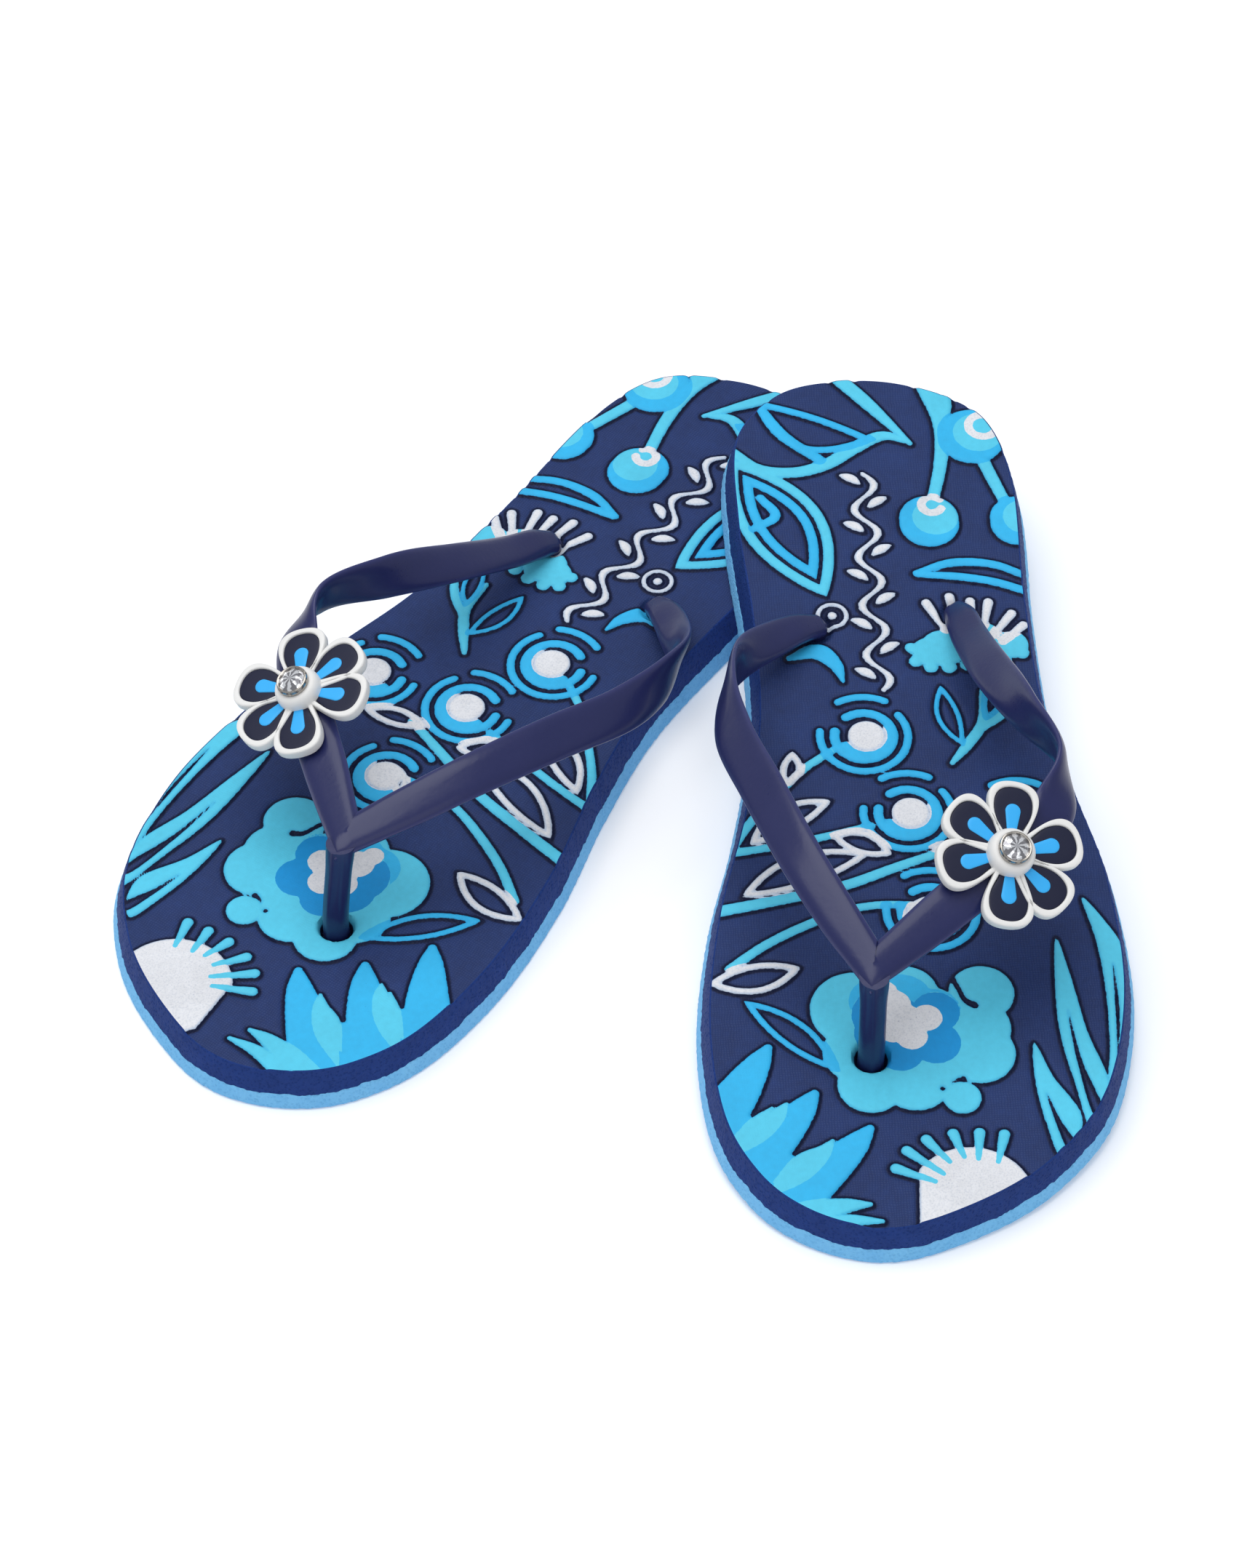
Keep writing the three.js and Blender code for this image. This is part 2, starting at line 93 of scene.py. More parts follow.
def spline(points: Sequence[Sequence[float]], knots: np.ndarray,
           closed: bool = False) -> np.ndarray:
    """A centripetal Catmull-Rom curve through points.

    Args:
        points: the points it passes through.
        knots: where to read it: 0 at the first point, 1 at the second, and so on.
        closed: whether it runs back to its start.

    Returns:
        One row for each knot value.
    """
    p = np.asarray(points, float)
    count = len(p)
    if closed:
        padded = np.vstack([p[-1], p, p[0], p[1]])
        last = count
    else:
        padded = np.vstack([2 * p[0] - p[1], p, 2 * p[-1] - p[-2]])
        last = count - 1
    start = np.clip(np.floor(knots).astype(int), 0, last - 1)
    t = (knots - start)[:, None]
    p0, p1, p2, p3 = (padded[start + i] for i in range(4))
    steps = [np.maximum(np.sqrt(np.linalg.norm(b - a, axis=1))[:, None], 1e-4)
             for a, b in ((p0, p1), (p1, p2), (p2, p3))]
    d0, d1, d2 = steps
    m1 = ((p1 - p0) / d0 - (p2 - p0) / (d0 + d1) + (p2 - p1) / d1) * d1
    m2 = ((p2 - p1) / d1 - (p3 - p1) / (d1 + d2) + (p3 - p2) / d2) * d1
    return ((2 * t**3 - 3 * t**2 + 1) * p1 + (t**3 - 2 * t**2 + t) * m1
            + (3 * t**2 - 2 * t**3) * p2 + (t**3 - t**2) * m2)


def smooth(value: np.ndarray, low: float, high: float) -> np.ndarray:
    """Rises smoothly from 0 at low to 1 at high."""
    t = np.clip((value - low) / (high - low), 0, 1)
    return t * t * (3 - 2 * t)


def ripple(s: np.ndarray, wavelength: float) -> np.ndarray:
    """An irregular wave of height about 1 with a wavelength near the one given, in mm."""
    w = 2 * math.pi * s / wavelength
    return (np.sin(w) + 0.7 * np.sin(1.73 * w + 1.1) + 0.5 * np.sin(2.91 * w + 2.3)) / 1.6


def travelled(path: np.ndarray) -> np.ndarray:
    """How far each point of a path lies along it from the first."""
    return np.concatenate([[0], np.cumsum(np.linalg.norm(np.diff(path, axis=0), axis=1))])


def inside_outline(p: np.ndarray, outline: np.ndarray) -> np.ndarray:
    """Signed distances from points to a closed outline, above 0 inside.

    Args:
        p: the points, one to a row.
        outline: the outline's corners in order.

    Returns:
        One distance for each point.
    """
    nearest = np.full(len(p), np.inf)
    crossed = np.zeros(len(p), bool)
    for a, b in zip(outline, np.roll(outline, -1, axis=0)):
        edge = b - a
        if not edge.any():
            continue
        t = np.clip(((p - a) @ edge) / (edge @ edge), 0, 1)
        gap = p - a - t[:, None] * edge
        nearest = np.minimum(nearest, (gap * gap).sum(1))
        if a[1] != b[1]:
            spans = (a[1] > p[:, 1]) != (b[1] > p[:, 1])
            reach = a[0] + (p[:, 1] - a[1]) * edge[0] / edge[1]
            crossed ^= spans & (p[:, 0] < reach)
    return np.where(crossed, 1, -1) * np.sqrt(nearest)


def inside_stroke(p: np.ndarray, line: np.ndarray) -> np.ndarray:
    """Distances inside a round-ended stroke whose half width changes along its line.

    Args:
        p: the points, one to a row.
        line: rows of x, y and half width.

    Returns:
        One distance for each point, above 0 in the stroke.
    """
    best = np.full(len(p), -np.inf)
    for a, b in zip(line[:-1], line[1:]):
        edge = b[:2] - a[:2]
        t = np.clip(((p - a[:2]) @ edge) / max(edge @ edge, 1e-9), 0, 1)
        gap = np.linalg.norm(p - a[:2] - t[:, None] * edge, axis=1)
        best = np.maximum(best, a[2] + t * (b[2] - a[2]) - gap)
    return best


# ---------------------------------------------------------------- meshes


class Part:
    """A mesh being gathered from grids and rings, in mm, with values stored at its points."""

    def __init__(self) -> None:
        """Starts with nothing."""
        self.points: list[np.ndarray] = []
        self.faces: list[tuple[int, ...]] = []
        self.slots: list[int] = []
        self.values: dict[str, list[np.ndarray]] = {}
        self.count = 0

    def add(self, points: np.ndarray, **values: np.ndarray) -> int:
        """Adds points.

        Args:
            points: one to a row.
            **values: for any named value, one number for each point.

        Returns:
            The number of the first of them.
        """
        first = self.count
        for name in set(self.values) | set(values):
            kept = self.values.setdefault(name, [np.zeros(self.count)] if self.count else [])
            kept.append(np.asarray(values.get(name, np.zeros(len(points))), float))
        self.points.append(np.asarray(points, float))
        self.count += len(points)
        return first

    def face(self, corners: Sequence[int], slot: int = 0) -> None:
        """Adds one face."""
        self.faces.append(tuple(int(c) for c in corners))
        self.slots.append(slot)

    def join(self, rows: np.ndarray, slot: int = 0, closed: bool = True) -> None:
        """Joins neighbouring rows of point numbers with four-sided faces.

        Args:
            rows: point numbers, one row for each ring.
            slot: the material's number.
            closed: whether each row runs back to its start.
        """
        if closed:
            rows = np.hstack([rows, rows[:, :1]])
        quads = np.stack([rows[:-1, :-1], rows[:-1, 1:], rows[1:, 1:], rows[1:, :-1]], -1)
        for quad in quads.reshape(-1, 4).tolist():
            self.faces.append(tuple(quad))
            self.slots.append(slot)

    def rings(self, rings: np.ndarray, slot: int = 0, caps: bool = True,
              **values: np.ndarray) -> np.ndarray:
        """Adds a skin over closed rings of points.

        Args:
            rings: rings by points by x, y, z.
            slot: the material's number.
            caps: whether the first and last rings are closed with a face.
            **values: rings by points, for any named value.

        Returns:
            The point numbers, rings by points.
        """
        shape = rings.shape[:2]
        first = self.add(rings.reshape(-1, 3), **{k: v.reshape(-1) for k, v in values.items()})
        numbers = np.arange(shape[0] * shape[1]).reshape(shape) + first
        self.join(numbers, slot)
        if caps:
            self.face(numbers[0][::-1], slot)
            self.face(numbers[-1], slot)
        return numbers

    def build(self, name: str, place: Callable[[np.ndarray], np.ndarray], flip: bool,
              materials: Sequence[bpy.types.Material], sharp: float = 40.0) -> bpy.types.Object:
        """Makes the Blender object.

        Args:
            name: the object's name.
            place: turns points in mm into row frame points in metres.
            flip: whether that mirrors, so that the faces have to be turned over.
            materials: the materials, by their slot numbers.
            sharp: the angle in degrees over which an edge is shaded sharp.

        Returns:
            The object, linked to the scene.
        """
        points = np.vstack(self.points)
        faces = [f[::-1] for f in self.faces] if flip else self.faces
        mesh = bpy.data.meshes.new(name)
        mesh.from_pydata(place(points).tolist(), [], faces)
        mesh.update()
        mesh.polygons.foreach_set("material_index", self.slots)
        mesh.polygons.foreach_set("use_smooth", [True] * len(mesh.polygons))
        at = mesh.attributes.new("place", "FLOAT_VECTOR", "POINT")
        at.data.foreach_set("vector", points.astype(np.float32).ravel())
        for value, parts in self.values.items():
            stored = mesh.attributes.new(value, "FLOAT", "POINT")
            stored.data.foreach_set("value", np.concatenate(parts).astype(np.float32))
        mesh.set_sharp_from_angle(angle=math.radians(sharp))
        for material in materials:
            mesh.materials.append(material)
        piece = bpy.data.objects.new(name, mesh)
        bpy.context.scene.collection.objects.link(piece)
        log.info("%s: %d points, %d faces", name, len(points), len(faces))
        return piece


def turned(profile: Sequence[tuple[float, float]], sides: int) -> np.ndarray:
    """Rings about +Z for a profile of (radius, z) pairs, from the bottom outwards and up."""
    angle = np.linspace(0, 2 * math.pi, sides, endpoint=False)
    radius, z = np.array(profile, float).T
    ring = np.stack([np.cos(angle), np.sin(angle)], -1)
    rings = np.zeros((len(radius), sides, 3))
    rings[..., :2] = radius[:, None, None] * ring
    rings[..., 2] = z[:, None]
    return rings


# ---------------------------------------------------------------- shader helpers


class Tree:
    """Short ways to add and join the nodes of one node tree."""

    def __init__(self, tree: bpy.types.NodeTree) -> None:
        """Keeps the tree."""
        self.tree = tree

    def add(self, kind: str, settings: dict | None = None, **inputs: object) -> bpy.types.Node:
        """Adds a node.

        Args:
            kind: the node's type, without its "ShaderNode" start.
            settings: the node's own settings.
            **inputs: values or sockets for its inputs, with _ for a space in their names.

        Returns:
            The node.
        """
        node = self.tree.nodes.new("ShaderNode" + kind)
        for key, value in (settings or {}).items():
            setattr(node, key, value)
        for key, value in inputs.items():
            self.set(node.inputs[key.replace("_", " ")], value)
        return node

    def set(self, socket: bpy.types.NodeSocket, value: object) -> None:
        """Joins a socket to another, or gives it a value."""
        if isinstance(value, bpy.types.NodeSocket):
            self.tree.links.new(value, socket)
        else:
            socket.default_value = value

    def math(self, operation: str, *values: object, clamp: bool = False) -> bpy.types.NodeSocket:
        """The result of a Math node on sockets or numbers."""
        node = self.tree.nodes.new("ShaderNodeMath")
        node.operation = operation
        node.use_clamp = clamp
        for socket, value in zip(node.inputs, values):
            self.set(socket, value)
        return node.outputs[0]

    def step(self, value: object, low: float, high: float, start: float = 0.0,
             end: float = 1.0) -> bpy.types.NodeSocket:
        """A smooth rise of a value from start at low to end at high."""
        node = self.add("MapRange", {"interpolation_type": "SMOOTHSTEP"}, Value=value)
        for name, number in (("From Min", low), ("From Max", high), ("To Min", start), ("To Max", end)):
            node.inputs[name].default_value = number
        return node.outputs["Result"]

    def mix(self, share: object, a: object, b: object, blend: str = "MIX") -> bpy.types.NodeSocket:
        """The mix of two colours."""
        node = self.tree.nodes.new("ShaderNodeMix")
        node.data_type = "RGBA"
        node.blend_type = blend
        for index, value in ((0, share), (6, a), (7, b)):
            self.set(node.inputs[index], value)
        return node.outputs[2]

    def value(self, name: str) -> bpy.types.NodeSocket:
        """A number stored at the mesh's points."""
        return self.add("Attribute", {"attribute_name": name}).outputs["Fac"]

    def place(self) -> bpy.types.NodeSocket:
        """Where a point lies in its sandal's or charm's own frame, in mm."""
        return self.add("Attribute", {"attribute_name": "place"}).outputs["Vector"]

    def group(self, tree: bpy.types.NodeTree, **inputs: object) -> bpy.types.Node:
        """Places a node group and sets its inputs."""
        node = self.tree.nodes.new("ShaderNodeGroup")
        node.node_tree = tree
        for key, value in inputs.items():
            self.set(node.inputs[key.replace("_", " ")], value)
        return node


def new_group(name: str, inputs: dict[str, tuple[str, object]], outputs: dict[str, str],
              ) -> tuple[bpy.types.NodeTree, Tree, bpy.types.Node, bpy.types.Node]:
    """Starts a shader node group.

    Args:
        name: its name.
        inputs: each input's socket type and value.
        outputs: each output's socket type.

    Returns:
        The group, its helper, and its input and output nodes.
    """
    group = bpy.data.node_groups.new(name, "ShaderNodeTree")
    for key, (kind, value) in inputs.items():
        socket = group.interface.new_socket(key, in_out="INPUT", socket_type="NodeSocket" + kind)
        if value is not None:
            socket.default_value = value
    for key, kind in outputs.items():
        group.interface.new_socket(key, in_out="OUTPUT", socket_type="NodeSocket" + kind)
    return group, Tree(group), group.nodes.new("NodeGroupInput"), group.nodes.new("NodeGroupOutput")


class Effects:
    """The effects that several materials share, each a node group built once."""

    def __init__(self) -> None:
        """Builds the groups."""
        self.mottle = self._mottle()
        self.weave = self._weave()
        self.pores = self._pores()
        self.inked = self._inked()

    @staticmethod
    def _mottle() -> bpy.types.NodeTree:
        """Uneven colour: a factor near 1, and a slow noise."""
        group, t, ins, outs = new_group(
            "uneven colour",
            {"Place": ("Vector", None), "Size": ("Float", 8.0), "Amount": ("Float", 0.1)},
            {"Factor": "Float", "Noise": "Float"})
        scale = t.math("DIVIDE", 1.0, ins.outputs["Size"])
        broad = t.add("TexNoise", None, Vector=ins.outputs["Place"], Scale=scale, Detail=5.0)
        fine = t.add("TexNoise", None, Vector=ins.outputs["Place"], Detail=3.0)
        t.set(fine.inputs["Scale"], t.math("MULTIPLY", scale, 9.0))
        both = t.math("MULTIPLY_ADD", fine.outputs[0], 0.4, t.math("MULTIPLY", broad.outputs[0], 0.6))
        swing = t.math("MULTIPLY", t.math("SUBTRACT", both, 0.5), ins.outputs["Amount"])
        t.set(outs.inputs["Factor"], t.math("MULTIPLY_ADD", swing, 4.0, 1.0))
        t.set(outs.inputs["Noise"], both)
        return group

    @staticmethod
    def _weave() -> bpy.types.NodeTree:
        """The linen weave pressed into a surface, as a height from 0 to 1."""
        group, t, ins, outs = new_group(
            "pressed weave", {"Place": ("Vector", None), "Pitch": ("Float", 0.7)}, {"Height": "Float"})
        spread = t.add("TexNoise", None, Vector=ins.outputs["Place"], Scale=0.35, Detail=2.0)
        parts = t.add("SeparateXYZ", None, Vector=ins.outputs["Place"])
        threads = []
        for axis in ("X", "Y"):
            bent = t.math("MULTIPLY_ADD", spread.outputs[0], 1.2, parts.outputs[axis])
            turns = t.math("MULTIPLY", t.math("DIVIDE", bent, ins.outputs["Pitch"]), math.pi)
            threads.append(t.math("ABSOLUTE", t.math("SINE", turns)))
        t.set(outs.inputs["Height"], t.math("MULTIPLY", threads[0], threads[1]))
        return group

    @staticmethod
    def _pores() -> bpy.types.NodeTree:
        """The cut face of closed-cell foam: pits as a height, and a mask of the pits."""
        group, t, ins, outs = new_group(
            "foam pores", {"Place": ("Vector", None), "Size": ("Float", 0.5)},
            {"Height": "Float", "Pits": "Float"})
        scale = t.math("DIVIDE", 1.0, ins.outputs["Size"])
        cells = t.add("TexVoronoi", None, Vector=ins.outputs["Place"], Scale=scale)
        rough = t.add("TexNoise", None, Vector=ins.outputs["Place"], Detail=6.0, Roughness=0.65)
        t.set(rough.inputs["Scale"], t.math("MULTIPLY", scale, 0.45))
        pit = t.step(cells.outputs["Distance"], 0.12, 0.5)
        t.set(outs.inputs["Height"], t.math("MULTIPLY_ADD", rough.outputs[0], 1.6, pit))
        t.set(outs.inputs["Pits"], t.math("SUBTRACT", 1.0, pit))
        return group

    @staticmethod
    def _inked() -> bpy.types.NodeTree:
        """A printed shape's crisp mask, and the mask of the painted shade in the groove pressed round it."""
        group, t, ins, outs = new_group(
            "pressed outline", {"Distance": ("Float", 0.0)}, {"Mask": "Float", "GrooveShade": "Float"})
        distance = ins.outputs["Distance"]
        t.set(outs.inputs["Mask"], t.step(distance, -0.07, 0.07))
        rise = t.step(distance, -1.25, -0.55)
        fall = t.step(distance, -0.12, 0.12, 1.0, 0.0)
        t.set(outs.inputs["GrooveShade"], t.math("MULTIPLY", rise, fall))
        return group


def srgb(code: str) -> tuple[float, float, float, float]:
    """A colour written as six hex digits, as linear values."""
    values = (int(code[i:i + 2], 16) / 255 for i in (0, 2, 4))
    red, green, blue = (v / 12.92 if v <= 0.04045 else ((v + 0.055) / 1.055) ** 2.4 for v in values)
    return red, green, blue, 1.0


class Material:
    """One Principled material being set up."""

    def __init__(self, name: str, effects: Effects, **constants: object) -> None:
        """Starts a material whose shader has these constant values, with _ for a space."""
        self.material = bpy.data.materials.new(name)
        self.material.use_nodes = True
        self.tree = Tree(self.material.node_tree)
        self.shader = self.material.node_tree.nodes["Principled BSDF"]
        self.effects = effects
        for key, value in constants.items():
            self.shader.inputs[key.replace("_", " ")].default_value = value

    def feed(self, **sockets: object) -> None:
        """Joins sockets to the shader's inputs, with _ for a space in their names."""
        for key, value in sockets.items():
            self.tree.set(self.shader.inputs[key.replace("_", " ")], value)

    def bump(self, height: bpy.types.NodeSocket, depth: float, strength: float = 1.0,
             under: bpy.types.NodeSocket | None = None) -> bpy.types.NodeSocket:
        """A bump of a height in units of depth millimetres.

        Args:
            height: the height.
            depth: what a height of 1 stands for, in mm.
            strength: the bump's strength.
            under: a normal that it lies on.

        Returns:
            The normal.
        """
        node = self.tree.add("Bump", None, Height=height)
        node.inputs["Strength"].default_value = strength
        node.inputs["Distance"].default_value = depth * MM
        if under is not None:
            self.tree.set(node.inputs["Normal"], under)
        return node.outputs[0]


# ---------------------------------------------------------------- finishes


@dataclass(frozen=True)
class PrintedFoam:
    """The footbed's top: navy print with a pressed weave and satin inks, painted shade in the grooves round the
    print and a painted glint on the weave.
    """

    ground: str = "23386c"
    shade: str = "162550"
    painted_glint: str = "5a6c9e"
    # painted shade: the dark colour painted into the groove round the print
    groove: str = "0a1230"
    cyan: str = "56c6e4"
    sky: str = "34b2e6"
    deep: str = "1a90d2"
    white: str = "dedfe3"
    worn: str = "b4bac6"

    def make(self, effects: Effects) -> bpy.types.Material:
        """Builds the material."""
        m = Material("printed_foam", effects, Specular_IOR_Level=0.16)
        t = m.tree
        place = t.place()
        wander = t.add("TexNoise", None, Vector=place, Scale=0.9, Detail=3.0)
        ragged = t.math("MULTIPLY_ADD", wander.outputs[0], 0.4, -0.2)
        uneven = t.group(effects.mottle, Place=place, Size=14.0, Amount=0.32)
        printed = t.value(Ink.CYAN.value)
        shape = t.group(effects.inked, Distance=t.math("ADD", printed, ragged))
        weave = t.group(effects.weave, Place=place, Pitch=0.62)
        ground = t.mix(uneven.outputs["Noise"], srgb(self.shade), srgb(self.ground))
        # Painted highlight: the weave's raised threads are lightened.
        ground = t.mix(t.math("MULTIPLY", weave.outputs[0], 0.14), ground, srgb(self.painted_glint))
        thin = t.add("TexNoise", None, Vector=place, Scale=2.2, Detail=4.0)
        bare = t.step(thin.outputs[0], 0.4, 0.8, 0.0, 0.55)
        white = t.mix(bare, srgb(self.white), srgb(self.worn))
        ink = srgb(self.cyan)
        for colour, layer in (
                (srgb(self.sky), Ink.SKY), (srgb(self.deep), Ink.DEEP), (white, Ink.WHITE)):
            mask = t.group(effects.inked, Distance=t.math("ADD", t.value(layer.value), ragged))
            ink = t.mix(mask.outputs["Mask"], ink, colour)
        ink = t.mix(t.step(printed, 0.0, 0.7, 0.3, 0.0), ink, srgb(self.deep))
        ink = t.mix(t.step(thin.outputs[0], 0.73, 0.78, 0.0, 0.6), ink, srgb(self.ground))
        colour = t.mix(shape.outputs["Mask"], ground, ink)
        # Painted shade: the groove round each printed shape is darkened.
        colour = t.mix(t.math("MULTIPLY", shape.outputs["GrooveShade"], 0.93), colour, srgb(self.groove))
        tone = t.add("CombineColor")
        for channel in range(3):
            t.set(tone.inputs[channel], t.math("MULTIPLY_ADD", uneven.outputs["Factor"], 0.35, 0.65))
        colour = t.mix(1.0, colour, tone.outputs[0], "MULTIPLY")
        depth = t.math("MULTIPLY_ADD", shape.outputs["Mask"], -0.75, 1.0)
        fabric = m.bump(t.math("MULTIPLY", weave.outputs[0], depth), 0.07, 0.8)
        pressed = m.bump(t.step(printed, -0.9, 0.35), 0.35, 0.7, fabric)
        rough = t.math("MULTIPLY_ADD", uneven.outputs["Noise"], 0.3, 0.38)
        m.feed(Base_Color=colour, Normal=pressed, Roughness=rough)
        return m.material


@dataclass(frozen=True)
class CutFoam:
    """The cut edge of a foam layer: matt, faintly porous, scuffed lighter in random patches, with painted shade in
    its pits.
    """

    name: str
    colour: str
    light: str
    pore: float = 0.75

    def make(self, effects: Effects) -> bpy.types.Material:
        """Builds the material."""
        m = Material(self.name, effects, Specular_IOR_Level=0.15)
        t = m.tree
        place = t.place()
        pores = t.group(effects.pores, Place=place, Size=self.pore)
        uneven = t.group(effects.mottle, Place=place, Size=5.0, Amount=0.3)
        colour = t.mix(uneven.outputs["Noise"], srgb(self.colour), srgb(self.light))
        # Painted shade: the pits are pulled back to the darker base colour.
        colour = t.mix(t.math("MULTIPLY", pores.outputs["Pits"], 0.3), colour, srgb(self.colour))
        m.feed(Base_Color=colour, Normal=m.bump(pores.outputs["Height"], 0.16, 0.8),
               Roughness=t.math("MULTIPLY_ADD", pores.outputs["Pits"], 0.2, 0.62))
        return m.material


@dataclass(frozen=True)
class MouldedStrap:
    """The strap's soft glossy plastic, thinner and lighter along its edges."""

    colour: str = "1d2350"
    streak: str = "262a58"
    edge: str = "3c4076"

    def make(self, effects: Effects) -> bpy.types.Material:
        """Builds the material."""
        m = Material("moulded_strap", effects, Specular_IOR_Level=0.32, Coat_Weight=0.1,
                     Coat_Roughness=0.12)
        t = m.tree
        place = t.place()
        uneven = t.group(effects.mottle, Place=place, Size=9.0, Amount=0.16)
        thin = t.math("MULTIPLY", t.value("thin"), 0.4)
        colour = t.mix(uneven.outputs["Noise"], srgb(self.colour), srgb(self.streak))
        colour = t.mix(thin, colour, srgb(self.edge))
        rough = t.math("MULTIPLY_ADD", uneven.outputs["Noise"], 0.16, 0.22)
        flow = t.add("TexNoise", None, Vector=place, Scale=0.7, Detail=4.0)
        m.feed(Base_Color=colour, Roughness=rough, Normal=m.bump(flow.outputs[0], 0.12, 0.35))
        return m.material


@dataclass(frozen=True)
class SoftPlastic:
    """A charm colour: soft moulded plastic with a fine grain and a little dust."""

    name: str
    colour: str
    dust: str
    roughness: float = 0.42

    def make(self, effects: Effects) -> bpy.types.Material:
        """Builds the material."""
        m = Material(self.name, effects, Specular_IOR_Level=0.3)
        t = m.tree
        place = t.place()
        uneven = t.group(effects.mottle, Place=place, Size=2.4, Amount=0.12)
        specks = t.add("TexNoise", None, Vector=place, Scale=2.6, Detail=3.0)
        colour = t.mix(t.step(specks.outputs[0], 0.66, 0.8, 0.0, 0.35), srgb(self.colour), srgb(self.dust))
        grain = t.add("TexNoise", None, Vector=place, Scale=6.0, Detail=3.0)
        rough = t.math("MULTIPLY_ADD", uneven.outputs["Noise"], 0.2, self.roughness - 0.1)
        m.feed(Base_Color=colour, Roughness=rough, Normal=m.bump(grain.outputs[0], 0.03, 0.5))
        return m.material


@dataclass(frozen=True)
class PlatedSteel:
    """Nickel plate with fine turning marks."""

    colour: str = "c9c4bd"
    smudge: str = "8e8880"

    def make(self, effects: Effects) -> bpy.types.Material:
        """Builds the material."""
        m = Material("plated_steel", effects, Metallic=1.0)
        t = m.tree
        smudge = t.add("TexNoise", None, Vector=t.place(), Scale=1.4, Detail=5.0)
        colour = t.mix(smudge.outputs[0], srgb(self.smudge), srgb(self.colour))
        lines = t.add("TexNoise", None, Vector=t.place(), Scale=11.0, Detail=2.0)
        m.feed(Base_Color=colour, Roughness=t.math("MULTIPLY_ADD", smudge.outputs[0], 0.25, 0.14),
               Normal=m.bump(lines.outputs[0], 0.02, 0.35))
        return m.material


@dataclass(frozen=True)
class CutStone:
    """A foil-backed cut stone over a silver foil, its facets painted bright and dark as painted reflections."""

    colour: str = "f4f5f8"
    shadow: str = "8a898e"

    def make(self, effects: Effects) -> bpy.types.Material:
        """Builds the material."""
        m = Material("cut_stone", effects, Metallic=0.75, Coat_Weight=1.0, Coat_Roughness=0.02)
        t = m.tree
        place = t.place()
        parts = t.add("SeparateXYZ", None, Vector=place)
        turn = t.math("ARCTAN2", parts.outputs["Y"], parts.outputs["X"])
        glitter = t.add("TexNoise", None, Vector=place, Scale=0.9, Detail=2.0)
        facets = t.math("MULTIPLY", turn, 8.0)
        rays = t.math("SINE", t.math("MULTIPLY_ADD", glitter.outputs[0], 5.0, facets))
        painted_facet_light = t.step(rays, -0.25, 0.25)
        # Painted reflection: bright and dark wedges stand for the light each facet reflects.
        colour = t.mix(painted_facet_light, srgb(self.colour), srgb(self.shadow))
        m.feed(Base_Color=colour, Roughness=t.math("MULTIPLY_ADD", painted_facet_light, 0.06, 0.05))
        return m.material


class Finishes:
    """Every material, built once and shared by both sandals."""

    def __init__(self) -> None:
        """Builds the shared effects, then the materials."""
        effects = Effects()
        self.print = PrintedFoam().make(effects)
        self.navy = CutFoam("navy_cut_foam", "142a60", "20408a").make(effects)
        self.blue = CutFoam("blue_cut_foam", "62ade6", "88ccf5").make(effects)
        self.strap = MouldedStrap().make(effects)
        self.white = SoftPlastic("charm_white", "e6e5e3", "bcb9b4").make(effects)
        self.petal = SoftPlastic("petal_navy", "161a34", "343958", 0.4).make(effects)
        self.drop = SoftPlastic("petal_drop", "36aef2", "2a86c4").make(effects)
        self.steel = PlatedSteel().make(effects)
        self.stone = CutStone().make(effects)


# ---------------------------------------------------------------- how the sandals lie


@dataclass(frozen=True)
class Sole:
    """The sole's sizes and outline, as the frame has them."""

    length: float = 253.5
    width: float = 96.2
    heel_share: float = 0.52
    outsole: tuple[float, float] = (5.3, 3.9)
    footbed: tuple[float, float] = (8.3, 5.9)
    flare: float = 2.8
    outline: tuple[tuple[float, float], ...] = (
        (1.000, -0.125), (0.984, 0.050), (0.931, 0.280), (0.853, 0.432), (0.746, 0.494),
        (0.622, 0.480), (0.520, 0.422), (0.421, 0.369), (0.280, 0.351), (0.132, 0.350),
        (0.058, 0.299), (0.011, 0.125), (0.000, -0.073), (0.020, -0.250), (0.078, -0.353),
        (0.176, -0.360), (0.302, -0.337), (0.425, -0.337), (0.540, -0.390), (0.658, -0.468),
        (0.777, -0.505), (0.876, -0.483), (0.938, -0.411), (0.978, -0.302))

    def along(self, x: np.ndarray) -> np.ndarray:
        """The share of the length at x, from the heel."""
        return x / self.length + self.heel_share

    def middle(self, x: np.ndarray) -> np.ndarray:
        """The height of the line between the two foams."""
        low, high = self.outsole
        return low + (high - low) * self.along(x)

    def top(self, x: np.ndarray) -> np.ndarray:
        """The height of the footbed's top."""
        low, high = self.footbed
        return self.middle(x) + low + (high - low) * self.along(x)

    def top_at(self, x: float) -> float:
        """The height of the footbed's top at one place."""
        return float(self.top(np.array(x)))

    def seam(self, x: np.ndarray, run: np.ndarray) -> np.ndarray:
        """The uneven line where the two foams meet, at distances run along the edge."""
        return self.middle(x) + 0.22 * ripple(run, 17) + 0.12 * ripple(run, 4.2)

    def edge(self, samples: int = 4000) -> np.ndarray:
        """The outline of the top edge, as evenly spread points from the toe by the outer side."""
        shares = spline(self.outline, np.linspace(0, len(self.outline), samples, endpoint=False), True)
        return (shares - (self.heel_share, 0)) * (self.length, self.width)

    def outwards(self, p: np.ndarray) -> np.ndarray:
        """The direction away from the line down the sole's middle, at points near its edge."""
        heel = -self.heel_share * self.length + 0.35 * self.width
        toe = (1 - self.heel_share) * self.length - 0.5 * self.width
        away = p - np.stack([np.clip(p[:, 0], heel, toe), np.zeros(len(p))], -1)
        return away / np.linalg.norm(away, axis=1, keepdims=True)


SOLE = Sole()
TOE_HOLE = np.array([75.3, -12.3])
OUTER_HOLE = np.array([-55.0, 16.7])
INNER_HOLE = np.array([-51.5, -17.5])


